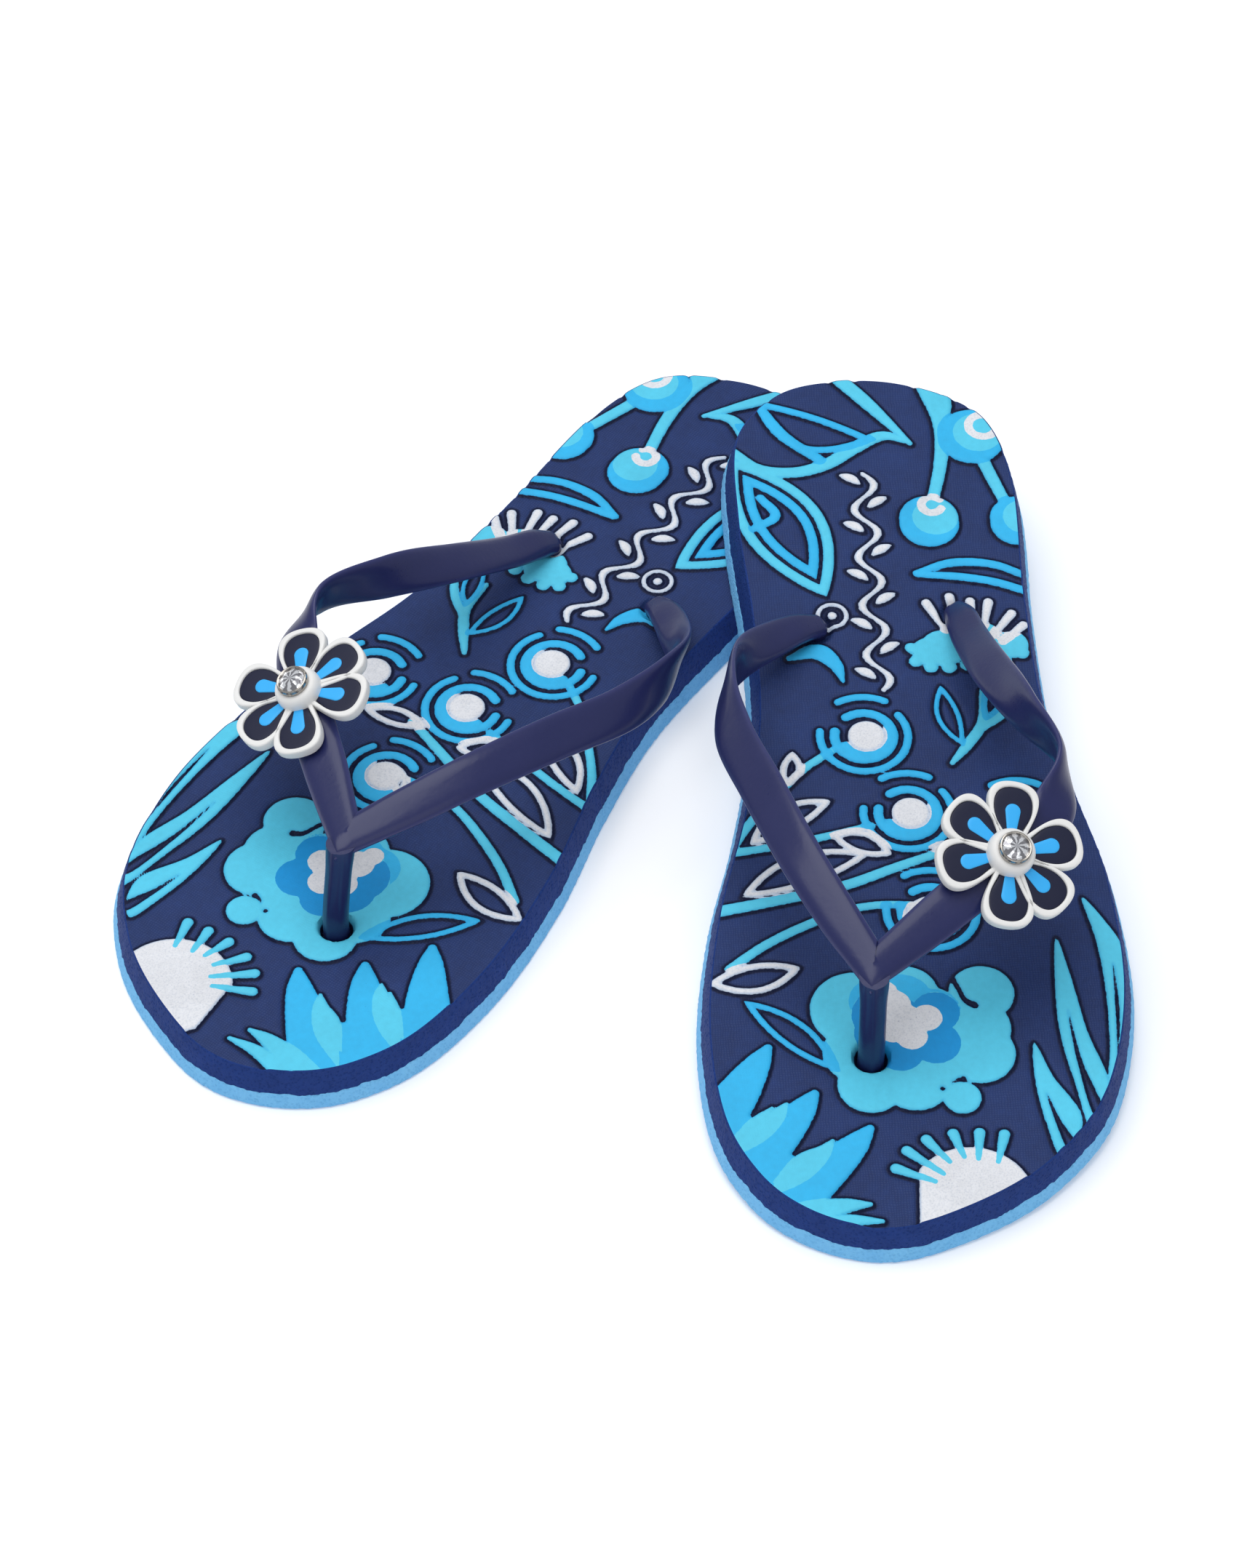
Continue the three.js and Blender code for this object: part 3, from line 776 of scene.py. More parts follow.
class Lie:
    """Where one sandal lies, read from its footbed's mount in the record."""

    MOUNT_X = -20.0

    def __init__(self, side: Side) -> None:
        """Works out the turn, pitch and origin of a side's sandal."""
        mounts = {m["name"]: m for m in frame["record"]["mounts"]}
        mount = mounts[f"{side.value}_footbed_top"]
        up = Vector(mount["axis"])
        ahead = Vector((up.x, up.y, 0)).normalized()
        slope = math.atan(SOLE.top_at(0.0) - SOLE.top_at(1.0))
        pitch = math.atan2(Vector((up.x, up.y)).length, up.z) - slope
        x_axis = ahead * math.cos(pitch) - Vector((0, 0, math.sin(pitch)))
        z_axis = ahead * math.sin(pitch) + Vector((0, 0, math.cos(pitch)))
        self.mirrored = side is Side.RIGHT
        y_axis = z_axis.cross(x_axis) * (-1 if self.mirrored else 1)
        self.axes = np.array([x_axis, y_axis, z_axis])
        local = np.array([self.MOUNT_X, 0, SOLE.top_at(self.MOUNT_X)])
        self.origin = np.array(mount["pos_m"]) - local @ self.axes * MM

    def __call__(self, points: np.ndarray) -> np.ndarray:
        """Turns points of the sandal's own frame, in mm, into row frame points in metres."""
        return self.origin + (points @ self.axes) * MM


class Seat:
    """Where one charm sits: its rivet's axis from its joint, its turn from its first petal."""

    STRAP_THICKNESS = 2.9
    BACK_THICKNESS = 1.0

    def __init__(self, side: Side) -> None:
        """Works out a side's charm frame, whose z = 0 is the plane it sits on."""
        joint = next(j for j in frame["joints"] if j["name"] == f"{side.value}_charm_spin")
        axis = np.array(joint["axis"], float)
        axis /= np.linalg.norm(axis)
        depth = self.STRAP_THICKNESS + 2 * GAP + self.BACK_THICKNESS / 2
        self.origin = np.array(joint["pos_m"]) + axis * depth * MM
        drop = frame["nodes"][f"{side.value}_petal_drop_1"].data.vertices
        towards = np.mean([v.co for v in drop], axis=0) - self.origin
        towards -= axis * (towards @ axis)
        x_axis = towards / np.linalg.norm(towards)
        self.axes = np.array([x_axis, np.cross(axis, x_axis), axis])

    def __call__(self, points: np.ndarray) -> np.ndarray:
        """Turns points of the charm's own frame, in mm, into row frame points in metres."""
        return self.origin + (points @ self.axes) * MM


# ---------------------------------------------------------------- the print


class Print:
    """The pattern on a footbed, as distances inside each ink at a set of points.

    All motifs are plain ones: scalloped flowers, leaves, stems, berries, ringed dots,
    fans and blades, placed over the sole.
    """

    REACH = 4.0
    SPREAD = 0.5
    HOLE_RADIUS = 3.9

    def __init__(self, points: np.ndarray, shift: tuple[float, float]) -> None:
        """Starts with bare ground.

        Args:
            points: the footbed's points, one to a row.
            shift: how far this print lies from its usual place, in mm.
        """
        self.shift = np.array(shift)
        self.p = points - self.shift
        self.inks = {ink: np.full(len(points), -self.REACH) for ink in Ink}
        self.draw()

    def measure(self, box: np.ndarray, distance: Callable[[np.ndarray], np.ndarray]) -> np.ndarray:
        """Distances at the points near a shape, and far outside it elsewhere.

        Args:
            box: points whose box holds the shape.
            distance: gives the distances inside it.

        Returns:
            One distance for each point of the footbed.
        """
        low, high = box.min(0) - self.REACH, box.max(0) + self.REACH
        near = ((self.p > low) & (self.p < high)).all(1)
        found = np.full(len(self.p), -self.REACH)
        found[near] = np.maximum(distance(self.p[near]), -self.REACH)
        return found

    def lay(self, ink: Ink, inside: np.ndarray, over: bool = False) -> None:
        """Lays an ink.

        Args:
            ink: the colour.
            inside: the distances inside the shape.
            over: whether it lies within a shape that is printed already.
        """
        if not over:
            self.inks[Ink.CYAN] = np.maximum(self.inks[Ink.CYAN], inside)
        grown = inside if over else inside + self.SPREAD
        if ink is not Ink.CYAN:
            self.inks[ink] = np.maximum(self.inks[ink], grown)
        for other in Ink:
            if other not in (ink, Ink.CYAN):
                self.inks[other] = np.minimum(self.inks[other], -inside)

    def cut(self, inside: np.ndarray) -> None:
        """Cuts a shape out of the print, down to the ground."""
        self.inks[Ink.CYAN] = np.minimum(self.inks[Ink.CYAN], -inside)

    def line(self, *points: tuple[float, float, float], steps: int = 6) -> np.ndarray:
        """Distances inside a curved stroke through rows of x, y and half width."""
        path = spline(points, np.linspace(0, len(points) - 1, steps * (len(points) - 1) + 1))
        return self.measure(path[:, :2], lambda p: inside_stroke(p, path))

    def shape(self, *points: tuple[float, float]) -> np.ndarray:
        """Distances inside a smooth closed outline."""
        outline = spline(points, np.linspace(0, len(points), 8 * len(points), endpoint=False), True)
        return self.measure(outline, lambda p: inside_outline(p, outline))

    def leaf(self, stalk: tuple[float, float], tip: tuple[float, float], half: float,
             bend: float = 0.0, blunt: float = 0.8) -> np.ndarray:
        """Distances inside a pointed leaf.

        Args:
            stalk: where it starts.
            tip: where it ends.
            half: half its width.
            bend: how far its middle lies to the left of a straight line.
            blunt: under 1 for fuller ends, over 1 for finer ones.

        Returns:
            One distance for each point.
        """
        start, end = np.array(stalk), np.array(tip)
        ahead = end - start
        aside = np.array([-ahead[1], ahead[0]]) / np.linalg.norm(ahead)
        t = np.linspace(0, 1, 22)[:, None]
        middle = start + t * ahead + aside * bend * 4 * t * (1 - t)
        swell = half * np.sin(math.pi * t) ** blunt
        outline = np.vstack([middle + aside * swell, (middle - aside * swell)[-2:0:-1]])
        return self.measure(outline, lambda p: inside_outline(p, outline))

    def discs(self, *discs: tuple[float, float, float]) -> np.ndarray:
        """Distances inside overlapping discs, each an x, y and radius."""
        box = np.array([(x + dx * r, y + dy * r)
                        for x, y, r in discs for dx in (-1, 1) for dy in (-1, 1)])
        return self.measure(box, lambda p: np.max(
            [r - np.hypot(p[:, 0] - x, p[:, 1] - y) for x, y, r in discs], axis=0))

    def arc(self, x: float, y: float, radius: float, half: float, start: float, end: float) -> np.ndarray:
        """Distances inside a round arc, its start and end angles in degrees."""
        angle = np.radians(np.linspace(start, end, 26))
        path = np.stack([x + radius * np.cos(angle), y + radius * np.sin(angle), np.full(26, half)], -1)
        return self.measure(path[:, :2], lambda p: inside_stroke(p, path))

    def outlined(self, ink: Ink, leaf: np.ndarray, width: float) -> None:
        """Lays only a leaf's border, with the ground showing inside."""
        self.lay(ink, np.minimum(leaf, width - leaf))

    def draw(self) -> None:
        """Draws every motif."""
        self.grass()
        self.big_flower()
        self.fan()
        self.crown()
        self.stems_and_leaves()
        for x, y in ((-18, -8), (5.5, 1), (8.5, 27), (34.5, 4.5)):
            self.ringed_dot(x, y)
        self.white_leaves()
        self.sprout()
        self.shell()
        self.berries()
        self.heel_leaves()
        self.scroll()
        self.cut(self.discs((*(TOE_HOLE - self.shift), self.HOLE_RADIUS)))

    def grass(self) -> None:
        """The long blades along the outer edge, each with a slit."""
        for blade, slit in (
            (((31.5, 40), (38, 44.5), (47, 48.5), (62, 49), (76, 46), (86, 41.5), (73, 42.8),
              (58, 43.2), (44, 42.2)),
             ((51, 45.6), (64, 45.9), (79, 44.2), (66, 44.9))),
            (((43, 33), (54, 35.4), (70, 38), (84, 41.6), (92, 40), (98, 36.8), (84, 33.8),
              (70, 31.6), (56, 31.6)),
             ((64, 34), (78, 36), (93, 39.6), (94, 38), (79, 35))),
            (((72.5, 25.4), (82, 29), (93, 34.6), (100, 33), (104, 29), (95, 26.4), (83, 24.8)),
             ((87, 27.2), (94, 29.6), (102, 33), (103, 31.2), (95, 28.6)))):
            self.lay(Ink.CYAN, self.shape(*blade))
            self.cut(self.shape(*slit))

    def big_flower(self) -> None:
        """The scalloped flower round the toe post, in four rings of colour."""
        self.lay(Ink.CYAN, self.discs(
            (58.2, 14.4, 7.6), (68, 12, 8.5), (75, 12.6, 8.4), (87.2, 7.8, 4.4), (82, -2.5, 8.4),
            (83, -12.8, 7.7), (74, -15, 8.4), (62, -15, 10.6), (58, -3.5, 8), (70, -2, 15)))
        self.cut(self.line(
            (61.6, 12.6, 0.9), (60.3, 10.6, 0.7), (57, 9.2, 0.55), (51.5, 7, 0.9), (48, 6, 1.6)))
        self.cut(self.discs((82.2, 8.4, 0.8), (84.6, 3.5, 0.6)))
        self.lay(Ink.SKY, self.discs((60, -4.5, 7.5), (63, 3.2, 6), (60, -10, 6.5)), over=True)
        self.lay(Ink.DEEP, self.discs(
            (63.5, 3.4, 5.6), (72, 2.8, 5.8), (74, -5.5, 5.6), (64, -8.5, 7.6), (69, -9, 6.8)), over=True)
        self.lay(Ink.WHITE, self.discs(
            (65, 1.2, 3.6), (70, -2.6, 3.7), (68, -6.8, 3.6), (61, -6.2, 4), (57, -7.8, 2.6),
            (65, -4, 4)), over=True)

    def fan(self) -> None:
        """The white fan at the toe, with fine cyan bristles."""
        head = self.discs((115, 8, 14.2))
        self.lay(Ink.WHITE, np.minimum(head, self.p[:, 1] + 3.6 + 0.06 * (self.p[:, 0] - 110)))
        for outer, inner in (
            ((97.6, 16.6), (105.2, 14.6)), ((97, 11), (104.2, 10.2)), ((97, 5), (103.6, 7)),
            ((98.4, -1.2), (104.8, 3.6)), ((101.3, -5.8), (108, 2)), ((106, -8.6), (110, 0))):
            self.lay(Ink.CYAN, self.line((*outer, 1.35), (*inner, 0.6)))

    def crown(self) -> None:
        """The fan of broad blades at the inner toe, with lighter blades between them."""
        self.lay(Ink.SKY, self.discs((108, -38, 9), (98, -46, 9), (114, -30, 5)))
        for blade in (
            ((95, -13.8, 1.1), (99.5, -17.6, 3.2), (106.5, -25, 5.2), (115, -34, 6.4)),
            ((85, -25.8, 1.1), (89.5, -29, 3.2), (97, -35.4, 5.2), (106, -44, 6.4)),
            ((72, -35.8, 1.1), (77, -38.8, 3.2), (86, -44.4, 5.2), (96, -52, 6.4))):
            self.lay(Ink.SKY, self.line(*blade))
        for wedge in (
            ((98, -22.4, 0.5), (102, -25.6, 2.2), (106.5, -30.4, 2.7), (113, -38.5, 0.3)),
            ((99.8, -25.4, 0.5), (103, -29.8, 1.7), (109, -36.4, 0.3)),
            ((87.6, -32.4, 0.5), (91.4, -35.2, 2.2), (96, -40, 2.7), (103, -49, 0.3)),
            ((88.6, -35.6, 0.5), (92.4, -39.4, 1.6), (98, -46, 0.3)),
            ((115.4, -15, 0.6), (115.6, -20.4, 2), (117, -28, 3), (118, -36, 2)),
            ((120, -12.6, 0.6), (119.6, -20, 1.7), (121, -28, 2.4))):
            self.lay(Ink.CYAN, self.line(*wedge))

    def ringed_dot(self, x: float, y: float) -> None:
        """A white dot with arcs round it."""
        self.lay(Ink.SKY, self.arc(x, y, 7.1, 1.2, 214, -104))
        self.lay(Ink.SKY, self.arc(x, y, 10.6, 1.0, 126, -100))
        self.lay(Ink.SKY, self.arc(x, y, 12, 1.0, 152, 208))
        self.lay(Ink.SKY, self.arc(x, y + 0.6, 5.9, 1.5, -60, 110))
        self.lay(Ink.WHITE, self.discs((x - 0.1, y + 0.6, 4.5)))

    def stems_and_leaves(self) -> None:
        """The cyan stems from the ringed dots to the inner edge, and the leaf by the flower."""
        for stem in (
            ((16.5, 10, 1.1), (21, -2, 1.3), (26.5, -16, 1.4), (30, -31, 1.5), (33, -46, 1.6)),
            ((9, -8, 1.1), (12, -20, 1.1), (14.5, -32, 1.1), (16, -42, 1.2)),
            ((32.6, 1, 1.1), (32.2, -7, 1.1), (33.4, -15, 1.1), (37.5, -25, 1.2), (43, -35, 1.2),
             (49.5, -43.5, 1.2)),
            ((-14.5, -15, 1), (-9, -22.5, 1.1), (-2, -29, 1.1), (5, -35, 1.1), (13, -40.5, 1.3))):
            self.lay(Ink.CYAN, self.line(*stem))
        leaf = self.leaf((79, -20), (58.6, -40.6), 3.9, -0.8)
        self.outlined(Ink.SKY, leaf, 1.5)

    def white_leaves(self) -> None:
        """White outlined leaves along the stems."""
        for stalk, tip, half, bend in (
            ((53.6, -48.6), (49.6, -27), 4.3, -0.8), ((28.8, -39.6), (17, -9), 4.8, 1.6),
            ((13.6, -37), (1, -17), 4, 1.4), ((11.4, -17.6), (17.6, -3.6), 3.6, 0.6),
            ((16, 5.5), (19.5, 22.5), 3.2, 0.4), ((-3.5, -28), (-14, -25.4), 2.8, -0.8),
            ((37.5, -2), (30, 6), 2.3, 0.4)):
            leaf = self.leaf(stalk, tip, half, bend, 0.75)
            self.outlined(Ink.WHITE, leaf, 1.75)

    def sprout(self) -> None:
        """The small forked sprig and the crescent between the strap's ends."""
        self.lay(Ink.CYAN, self.line((-9.2, 12.6, 0.7), (-15, 17, 1.4), (-21, 20.6, 1.3), (-31, 21.4, 0.7)))
        self.lay(Ink.CYAN, self.line((-19, 19.6, 1.2), (-24, 26, 1.2), (-32, 31.5, 0.8)))
        self.outlined(Ink.SKY, self.leaf((-14.4, 15.6), (-33, 11.4), 3, 0.9), 1.2)
        self.outlined(Ink.SKY, self.leaf((-22, 21.5), (-37, 26), 2.6, -0.6), 1.1)
        self.lay(Ink.SKY, self.line(
            (-35, -12, 0.5), (-40, -13.4, 1.7), (-44.4, -17.6, 2.4), (-42.6, -24.6, 0.8)))

    def shell(self) -> None:
        """The bristled bloom round the outer strap hole."""
        self.lay(Ink.CYAN, self.discs(
            (-44.5, 13, 5.6), (-43.5, 9.6, 4.4), (-50, 17, 4.4), (-46, 22, 6.4), (-45, 29.6, 4.2),
            (-40.6, 6, 1.7), (-38.8, 9.6, 1.8), (-38.6, 14, 1.9), (-39.2, 18.4, 1.8), (-39.4, 23, 1.9),
            (-40, 27.6, 1.8), (-42.4, 32, 1.8), (-44.8, 5.2, 1.6)))
        for outer, inner in (
            ((-58.8, 9.8), (-50, 14)), ((-60.6, 15.6), (-52, 17)), ((-59, 20.6), (-52, 20.6)),
            ((-58.6, 25), (-51, 23.4)), ((-54.8, 30.4), (-48, 25.4)), ((-51, 33), (-46, 27.6))):
            self.lay(Ink.WHITE, self.line((*outer, 1.25), (*inner, 0.8)))

    def berries(self) -> None:
        """The berries on their stems at the outer heel, each with a lighter heart and a curl."""
        self.lay(Ink.CYAN, self.line(
            (-91, 13.6, 1.5), (-104, 16.6, 1.7), (-117, 17.6, 2.1), (-130, 14.6, 2.6)))
        self.lay(Ink.CYAN, self.line((-91, 31.5, 1.5), (-105, 27, 1.7)))
        self.lay(Ink.CYAN, self.leaf((-118, 19), (-129, 19), 1.8))
        for x, y, size, curl in (
                (-85, 12.4, 7.9, (-90, 13.4, 2.6)), (-112.4, 25, 8.6, (-115.6, 28, 3.6)),
                (-84.4, 34.6, 7.6, None)):
            self.lay(Ink.SKY, self.discs((x - 0.8, y, size - 0.5), (x + 0.8, y, size - 0.5)))
            self.lay(Ink.CYAN, self.discs((x - 1, y + 1.6, size * 0.72)), over=True)
            if curl:
                self.lay(Ink.WHITE, self.arc(*curl, 1.1, 60, -230), over=True)
        self.lay(Ink.SKY, self.line((-68.4, 8, 0.9), (-71.4, 17, 1.3), (-70.6, 27, 1.2), (-66.6, 35, 1.1)))
        self.lay(Ink.SKY, self.line((-68, 8.4, 1), (-67, 18, 1.2), (-65, 27, 1.2), (-61.6, 35, 1.2)))

    def heel_leaves(self) -> None:
        """The two large leaves at the heel, each a band of cyan round a band of sky blue."""
        leaf = self.leaf((-107, -36), (-61.6, -14.4), 10.4, 1.6, 0.85)
        self.outlined(Ink.CYAN, leaf, 2.7)
        self.outlined(Ink.SKY, leaf - 3.7, 2.5)
        self.lay(Ink.SKY, self.line((-94, -29, 1.1), (-88, -25.5, 1.3), (-84, -31, 1.1)))
        self.lay(Ink.CYAN, self.line((-136, -10, 1.9), (-125, -1, 1.9), (-110.6, 9.4, 0.7)))
        self.lay(Ink.CYAN, self.line(
            (-111, 9, 0.6), (-113.4, 3, 1.5), (-110, -4, 1.9), (-104.6, -11.6, 1.8), (-102, -20, 1.7),
            (-103.4, -29, 1.6), (-109, -35, 1.4)))
        inner = self.leaf((-126, -29), (-112, 0.5), 6.2, -4.4, 0.8)
        self.outlined(Ink.SKY, inner, 2.1)
        self.lay(Ink.SKY, self.line((-123.4, -27.4, 1.2), (-114, -22, 1.5), (-106, -13.6, 1.4)))

    def scroll(self) -> None:
        """A plain white trailing vine along the middle, and a dotted ring by the inner strap hole."""
        start, end, middle, swing, length = -101, -32, -3.2, 2.7, 15.5
        x = np.linspace(start, end, 60)
        wave = middle + swing * np.sin(2 * math.pi * (x - start) / length)
        vine = np.stack([x, wave, 0.78 - 0.2 * np.cos(4 * math.pi * (x - start) / length)], -1)
        self.lay(Ink.WHITE, self.measure(vine[:, :2], lambda p: inside_stroke(p, vine)))
        for step in range(9):
            base = -97.5 + 7.75 * step
            up = 1 if step % 2 else -1
            stalk, tip = (base, middle + up * 0.6), (base - 3.4, middle + up * 5.9)
            self.lay(Ink.WHITE, self.leaf(stalk, tip, 1.3, 0.5 * up, 0.7))
        ring = (-55.6, -13.4)
        self.lay(Ink.WHITE, self.arc(*ring, 3.5, 0.55, 0, 360))
        self.lay(Ink.WHITE, self.discs((*ring, 1.15)))


# ---------------------------------------------------------------- sole


@dataclass
class SoleLayer:
    """One foam layer of a sole, as a closed skin over a grid of lines across it."""

    across: int
    lines: int

    def grid(self) -> np.ndarray:
        """Points over the layer's outline, lines by points, closer together at heel and toe."""
        edge = SOLE.edge()
        heel, toe = edge[:, 0].argmin(), edge[:, 0].argmax()
        outer = np.roll(edge, -toe, axis=0)[:(heel - toe) % len(edge) + 1][::-1]
        inner = np.roll(edge, -heel, axis=0)[:(toe - heel) % len(edge) + 1]
        x = np.linspace(edge[heel, 0] + 0.06, edge[toe, 0] - 0.06, 6000)
        high, low = (np.interp(x, side[:, 0], side[:, 1]) for side in (outer, inner))
        slope = np.maximum(np.abs(np.gradient(high, x)), np.abs(np.gradient(low, x)))
        measure = np.concatenate([[0], np.cumsum(np.minimum(1 + 0.75 * slope[1:], 14) * np.diff(x))])
        at = np.interp(np.linspace(0, measure[-1], self.lines), measure, x)
        share = np.linspace(0, 1, self.across)
        bottom, top = np.interp(at, x, low)[:, None], np.interp(at, x, high)[:, None]
        y = bottom + (top - bottom) * share
        return np.stack([np.repeat(at[:, None], self.across, 1), y], -1)

    @staticmethod
    def rim(numbers: np.ndarray) -> np.ndarray:
        """The grid's border as one ring of point numbers, anticlockwise seen from above."""
        return np.concatenate([numbers[:, 0], numbers[-1, 1:], numbers[-2::-1, -1], numbers[0, -2:0:-1]])


@dataclass
class Footbed(SoleLayer):
    """The navy upper layer, with its printed and embossed top."""

    across: int = 172
    lines: int = 438
    raised: float = 0.42
    groove: float = 0.3
    right_shift: tuple[float, float] = (-4.0, 1.0)
    edge_round: tuple[tuple[float, float], ...] = ((0.1, 0.24), (0.36, 0.42), (0.8, 0.46))

    def relief(self, inside: np.ndarray, p: np.ndarray) -> np.ndarray:
        """How far the top stands over its plain height.

        Args:
            inside: distances inside the printed shapes.
            p: the points.

        Returns:
            Heights in mm.
        """
        height = self.raised * smooth(inside, -0.35, 0.75)
        height -= self.groove * np.exp(-((inside + 0.75) / 0.5) ** 2)
        for hole, reach, depth in (
                (TOE_HOLE, 3.2, 2.4), (OUTER_HOLE, 3.0, 1.6), (INNER_HOLE, 3.0, 1.6)):
            away = np.linalg.norm(p - hole, axis=1)
            height -= depth * smooth(away, reach + 1.7, reach - 0.1)
        return height

    def make(self, side: Side, lie: Lie, finishes: Finishes) -> bpy.types.Object:
        """Builds one side's footbed.

        Args:
            side: which foot it is for.
            lie: where the sandal lies.
            finishes: the materials.

        Returns:
            The piece.
        """
        flat = self.grid()
        p = flat.reshape(-1, 2)
        pattern = Print(p, self.right_shift if side is Side.RIGHT else (0.0, 0.0))
        height = SOLE.top(p[:, 0]) + self.relief(pattern.inks[Ink.CYAN], p)
        part = Part()
        values = {ink.value: d for ink, d in pattern.inks.items()}
        first = part.add(np.column_stack([p, height]), **values)
        numbers = np.arange(len(p)).reshape(self.lines, self.across) + first
        part.join(numbers.T, 0, closed=False)
        border = self.rim(numbers)
        self.wall(part, border, np.vstack(part.points)[border])
        materials = [finishes.print, finishes.navy]
        return part.build(f"{side.value}_footbed_foam", lie, lie.mirrored, materials)

    def wall(self, part: Part, border: np.ndarray, edge: np.ndarray) -> None:
        """Adds the side wall down from the top's edge, and the underside.

        Args:
            part: the mesh.
            border: the top edge's point numbers.
            edge: its points.
        """
        flat = edge[:, :2]
        out = SOLE.outwards(flat)
        run = travelled(flat)
        top, low = SOLE.top(flat[:, 0]), SOLE.seam(flat[:, 0], run)
        heights = [edge[:, 2] - drop for drop, _ in self.edge_round]
        offsets = [np.full(len(run), reach) for _, reach in self.edge_round]
        for share in np.linspace(0.2, 1, 5):
            z = top - 0.8 - (top - 0.8 - low) * share
            heights.append(z)
            rough = 0.07 * ripple(run + 9 * share, 2.3) + 0.05 * ripple(run * 1.3 + 31 * share, 6.1)
            offsets.append(self.edge_round[-1][1] + SOLE.flare * (1 - z / top) + rough)
        rows = [border]
        for z, offset in zip(heights, offsets):
            first = part.add(np.column_stack([flat + out * offset[:, None], z]))
            rows.append(np.arange(len(flat)) + first)
        part.join(np.array(rows)[::-1], 1)
        part.face(rows[-1][::-1], 1)


@dataclass
class Outsole(SoleLayer):
    """The light blue lower layer, with a waved tread and recesses for the strap's plugs."""

    across: int = 112
    lines: int = 300
    tread: float = 0.55
    pitch: float = 5.2
    plug_radius: float = 7.3
    plug_depth: float = 3.2
    proud: float = 0.46
    bulge: tuple[tuple[float, float], ...] = (
        (0.06, -0.02), (0.16, 0.1), (0.34, 0.12), (0.55, 0.1), (0.76, 0.12), (0.92, 0.1), (1.0, -0.06))

    def under(self, p: np.ndarray, inside: np.ndarray) -> np.ndarray:
        """The height of the tread over the floor.

        Args:
            p: the points.
            inside: how far they lie from the sole's edge.

        Returns:
            Heights in mm.
        """
        wave = np.cos(2 * math.pi * (p[:, 0] + 2.1 * np.sin(2 * math.pi * p[:, 1] / 16)) / self.pitch)
        height = self.tread * smooth(wave, 0.2, 0.85) * smooth(inside, 3.2, 4.4)
        for hole in (TOE_HOLE, OUTER_HOLE, INNER_HOLE):
            away = np.linalg.norm(p - hole, axis=1)
            land = smooth(away, self.plug_radius + 1.4, self.plug_radius + 2.4)
            recess = smooth(away, self.plug_radius + 0.5, self.plug_radius - 0.3)
            height = height * land + self.plug_depth * recess
        return height

    def make(self, side: Side, lie: Lie, finishes: Finishes) -> bpy.types.Object:
        """Builds one side's outsole.

        Args:
            side: which foot it is for.
            lie: where the sandal lies.
            finishes: the materials.

        Returns:
            The piece.
        """
        grid = self.grid()
        p = grid.reshape(-1, 2)
        border = self.rim(np.arange(len(p)).reshape(self.lines, self.across))
        spread = SOLE.outwards(p) * (SOLE.flare + 0.1)
        edge = p[border][::6]
        inside = inside_outline(p, edge)
        grown = p + spread * smooth(inside, 9, 0)[:, None]
        part = Part()
        first = part.add(np.column_stack([grown, self.under(p, inside)]))
        numbers = np.arange(len(p)).reshape(self.lines, self.across) + first
        part.join(numbers, 0, closed=False)
        ring = p[border]
        out = SOLE.outwards(ring)
        run = travelled(ring)
        top = SOLE.seam(ring[:, 0], run)
        rows = [numbers.ravel()[border]]
        for share, tuck in self.bulge:
            z = top * share
            full = SOLE.flare * (1 - z / SOLE.top(ring[:, 0])) + self.proud + tuck
            rough = 0.07 * ripple(run + 7 * share, 2.7) + 0.05 * ripple(run * 1.2 + 23 * share, 5.3)
            at = part.add(np.column_stack([ring + out * (full + rough)[:, None], z]))
            rows.append(np.arange(len(ring)) + at)
        part.join(np.array(rows), 0)
        part.face(rows[-1], 0)
        return part.build(f"{side.value}_outsole_foam", lie, lie.mirrored, [finishes.blue])


# ---------------------------------------------------------------- strap


@dataclass(frozen=True)
class Station:
    """One place along a strap arm: where it is and how the band lies there."""

    x: float
    y: float
    height: float
    across: tuple[float, float, float]
    width: float
    thickness: float

    def row(self) -> tuple[float, ...]:
        """Its point, width direction and size in one row."""
        z = SOLE.top_at(self.x) + self.height
        return (self.x, self.y, z, *self.across, self.width, self.thickness)


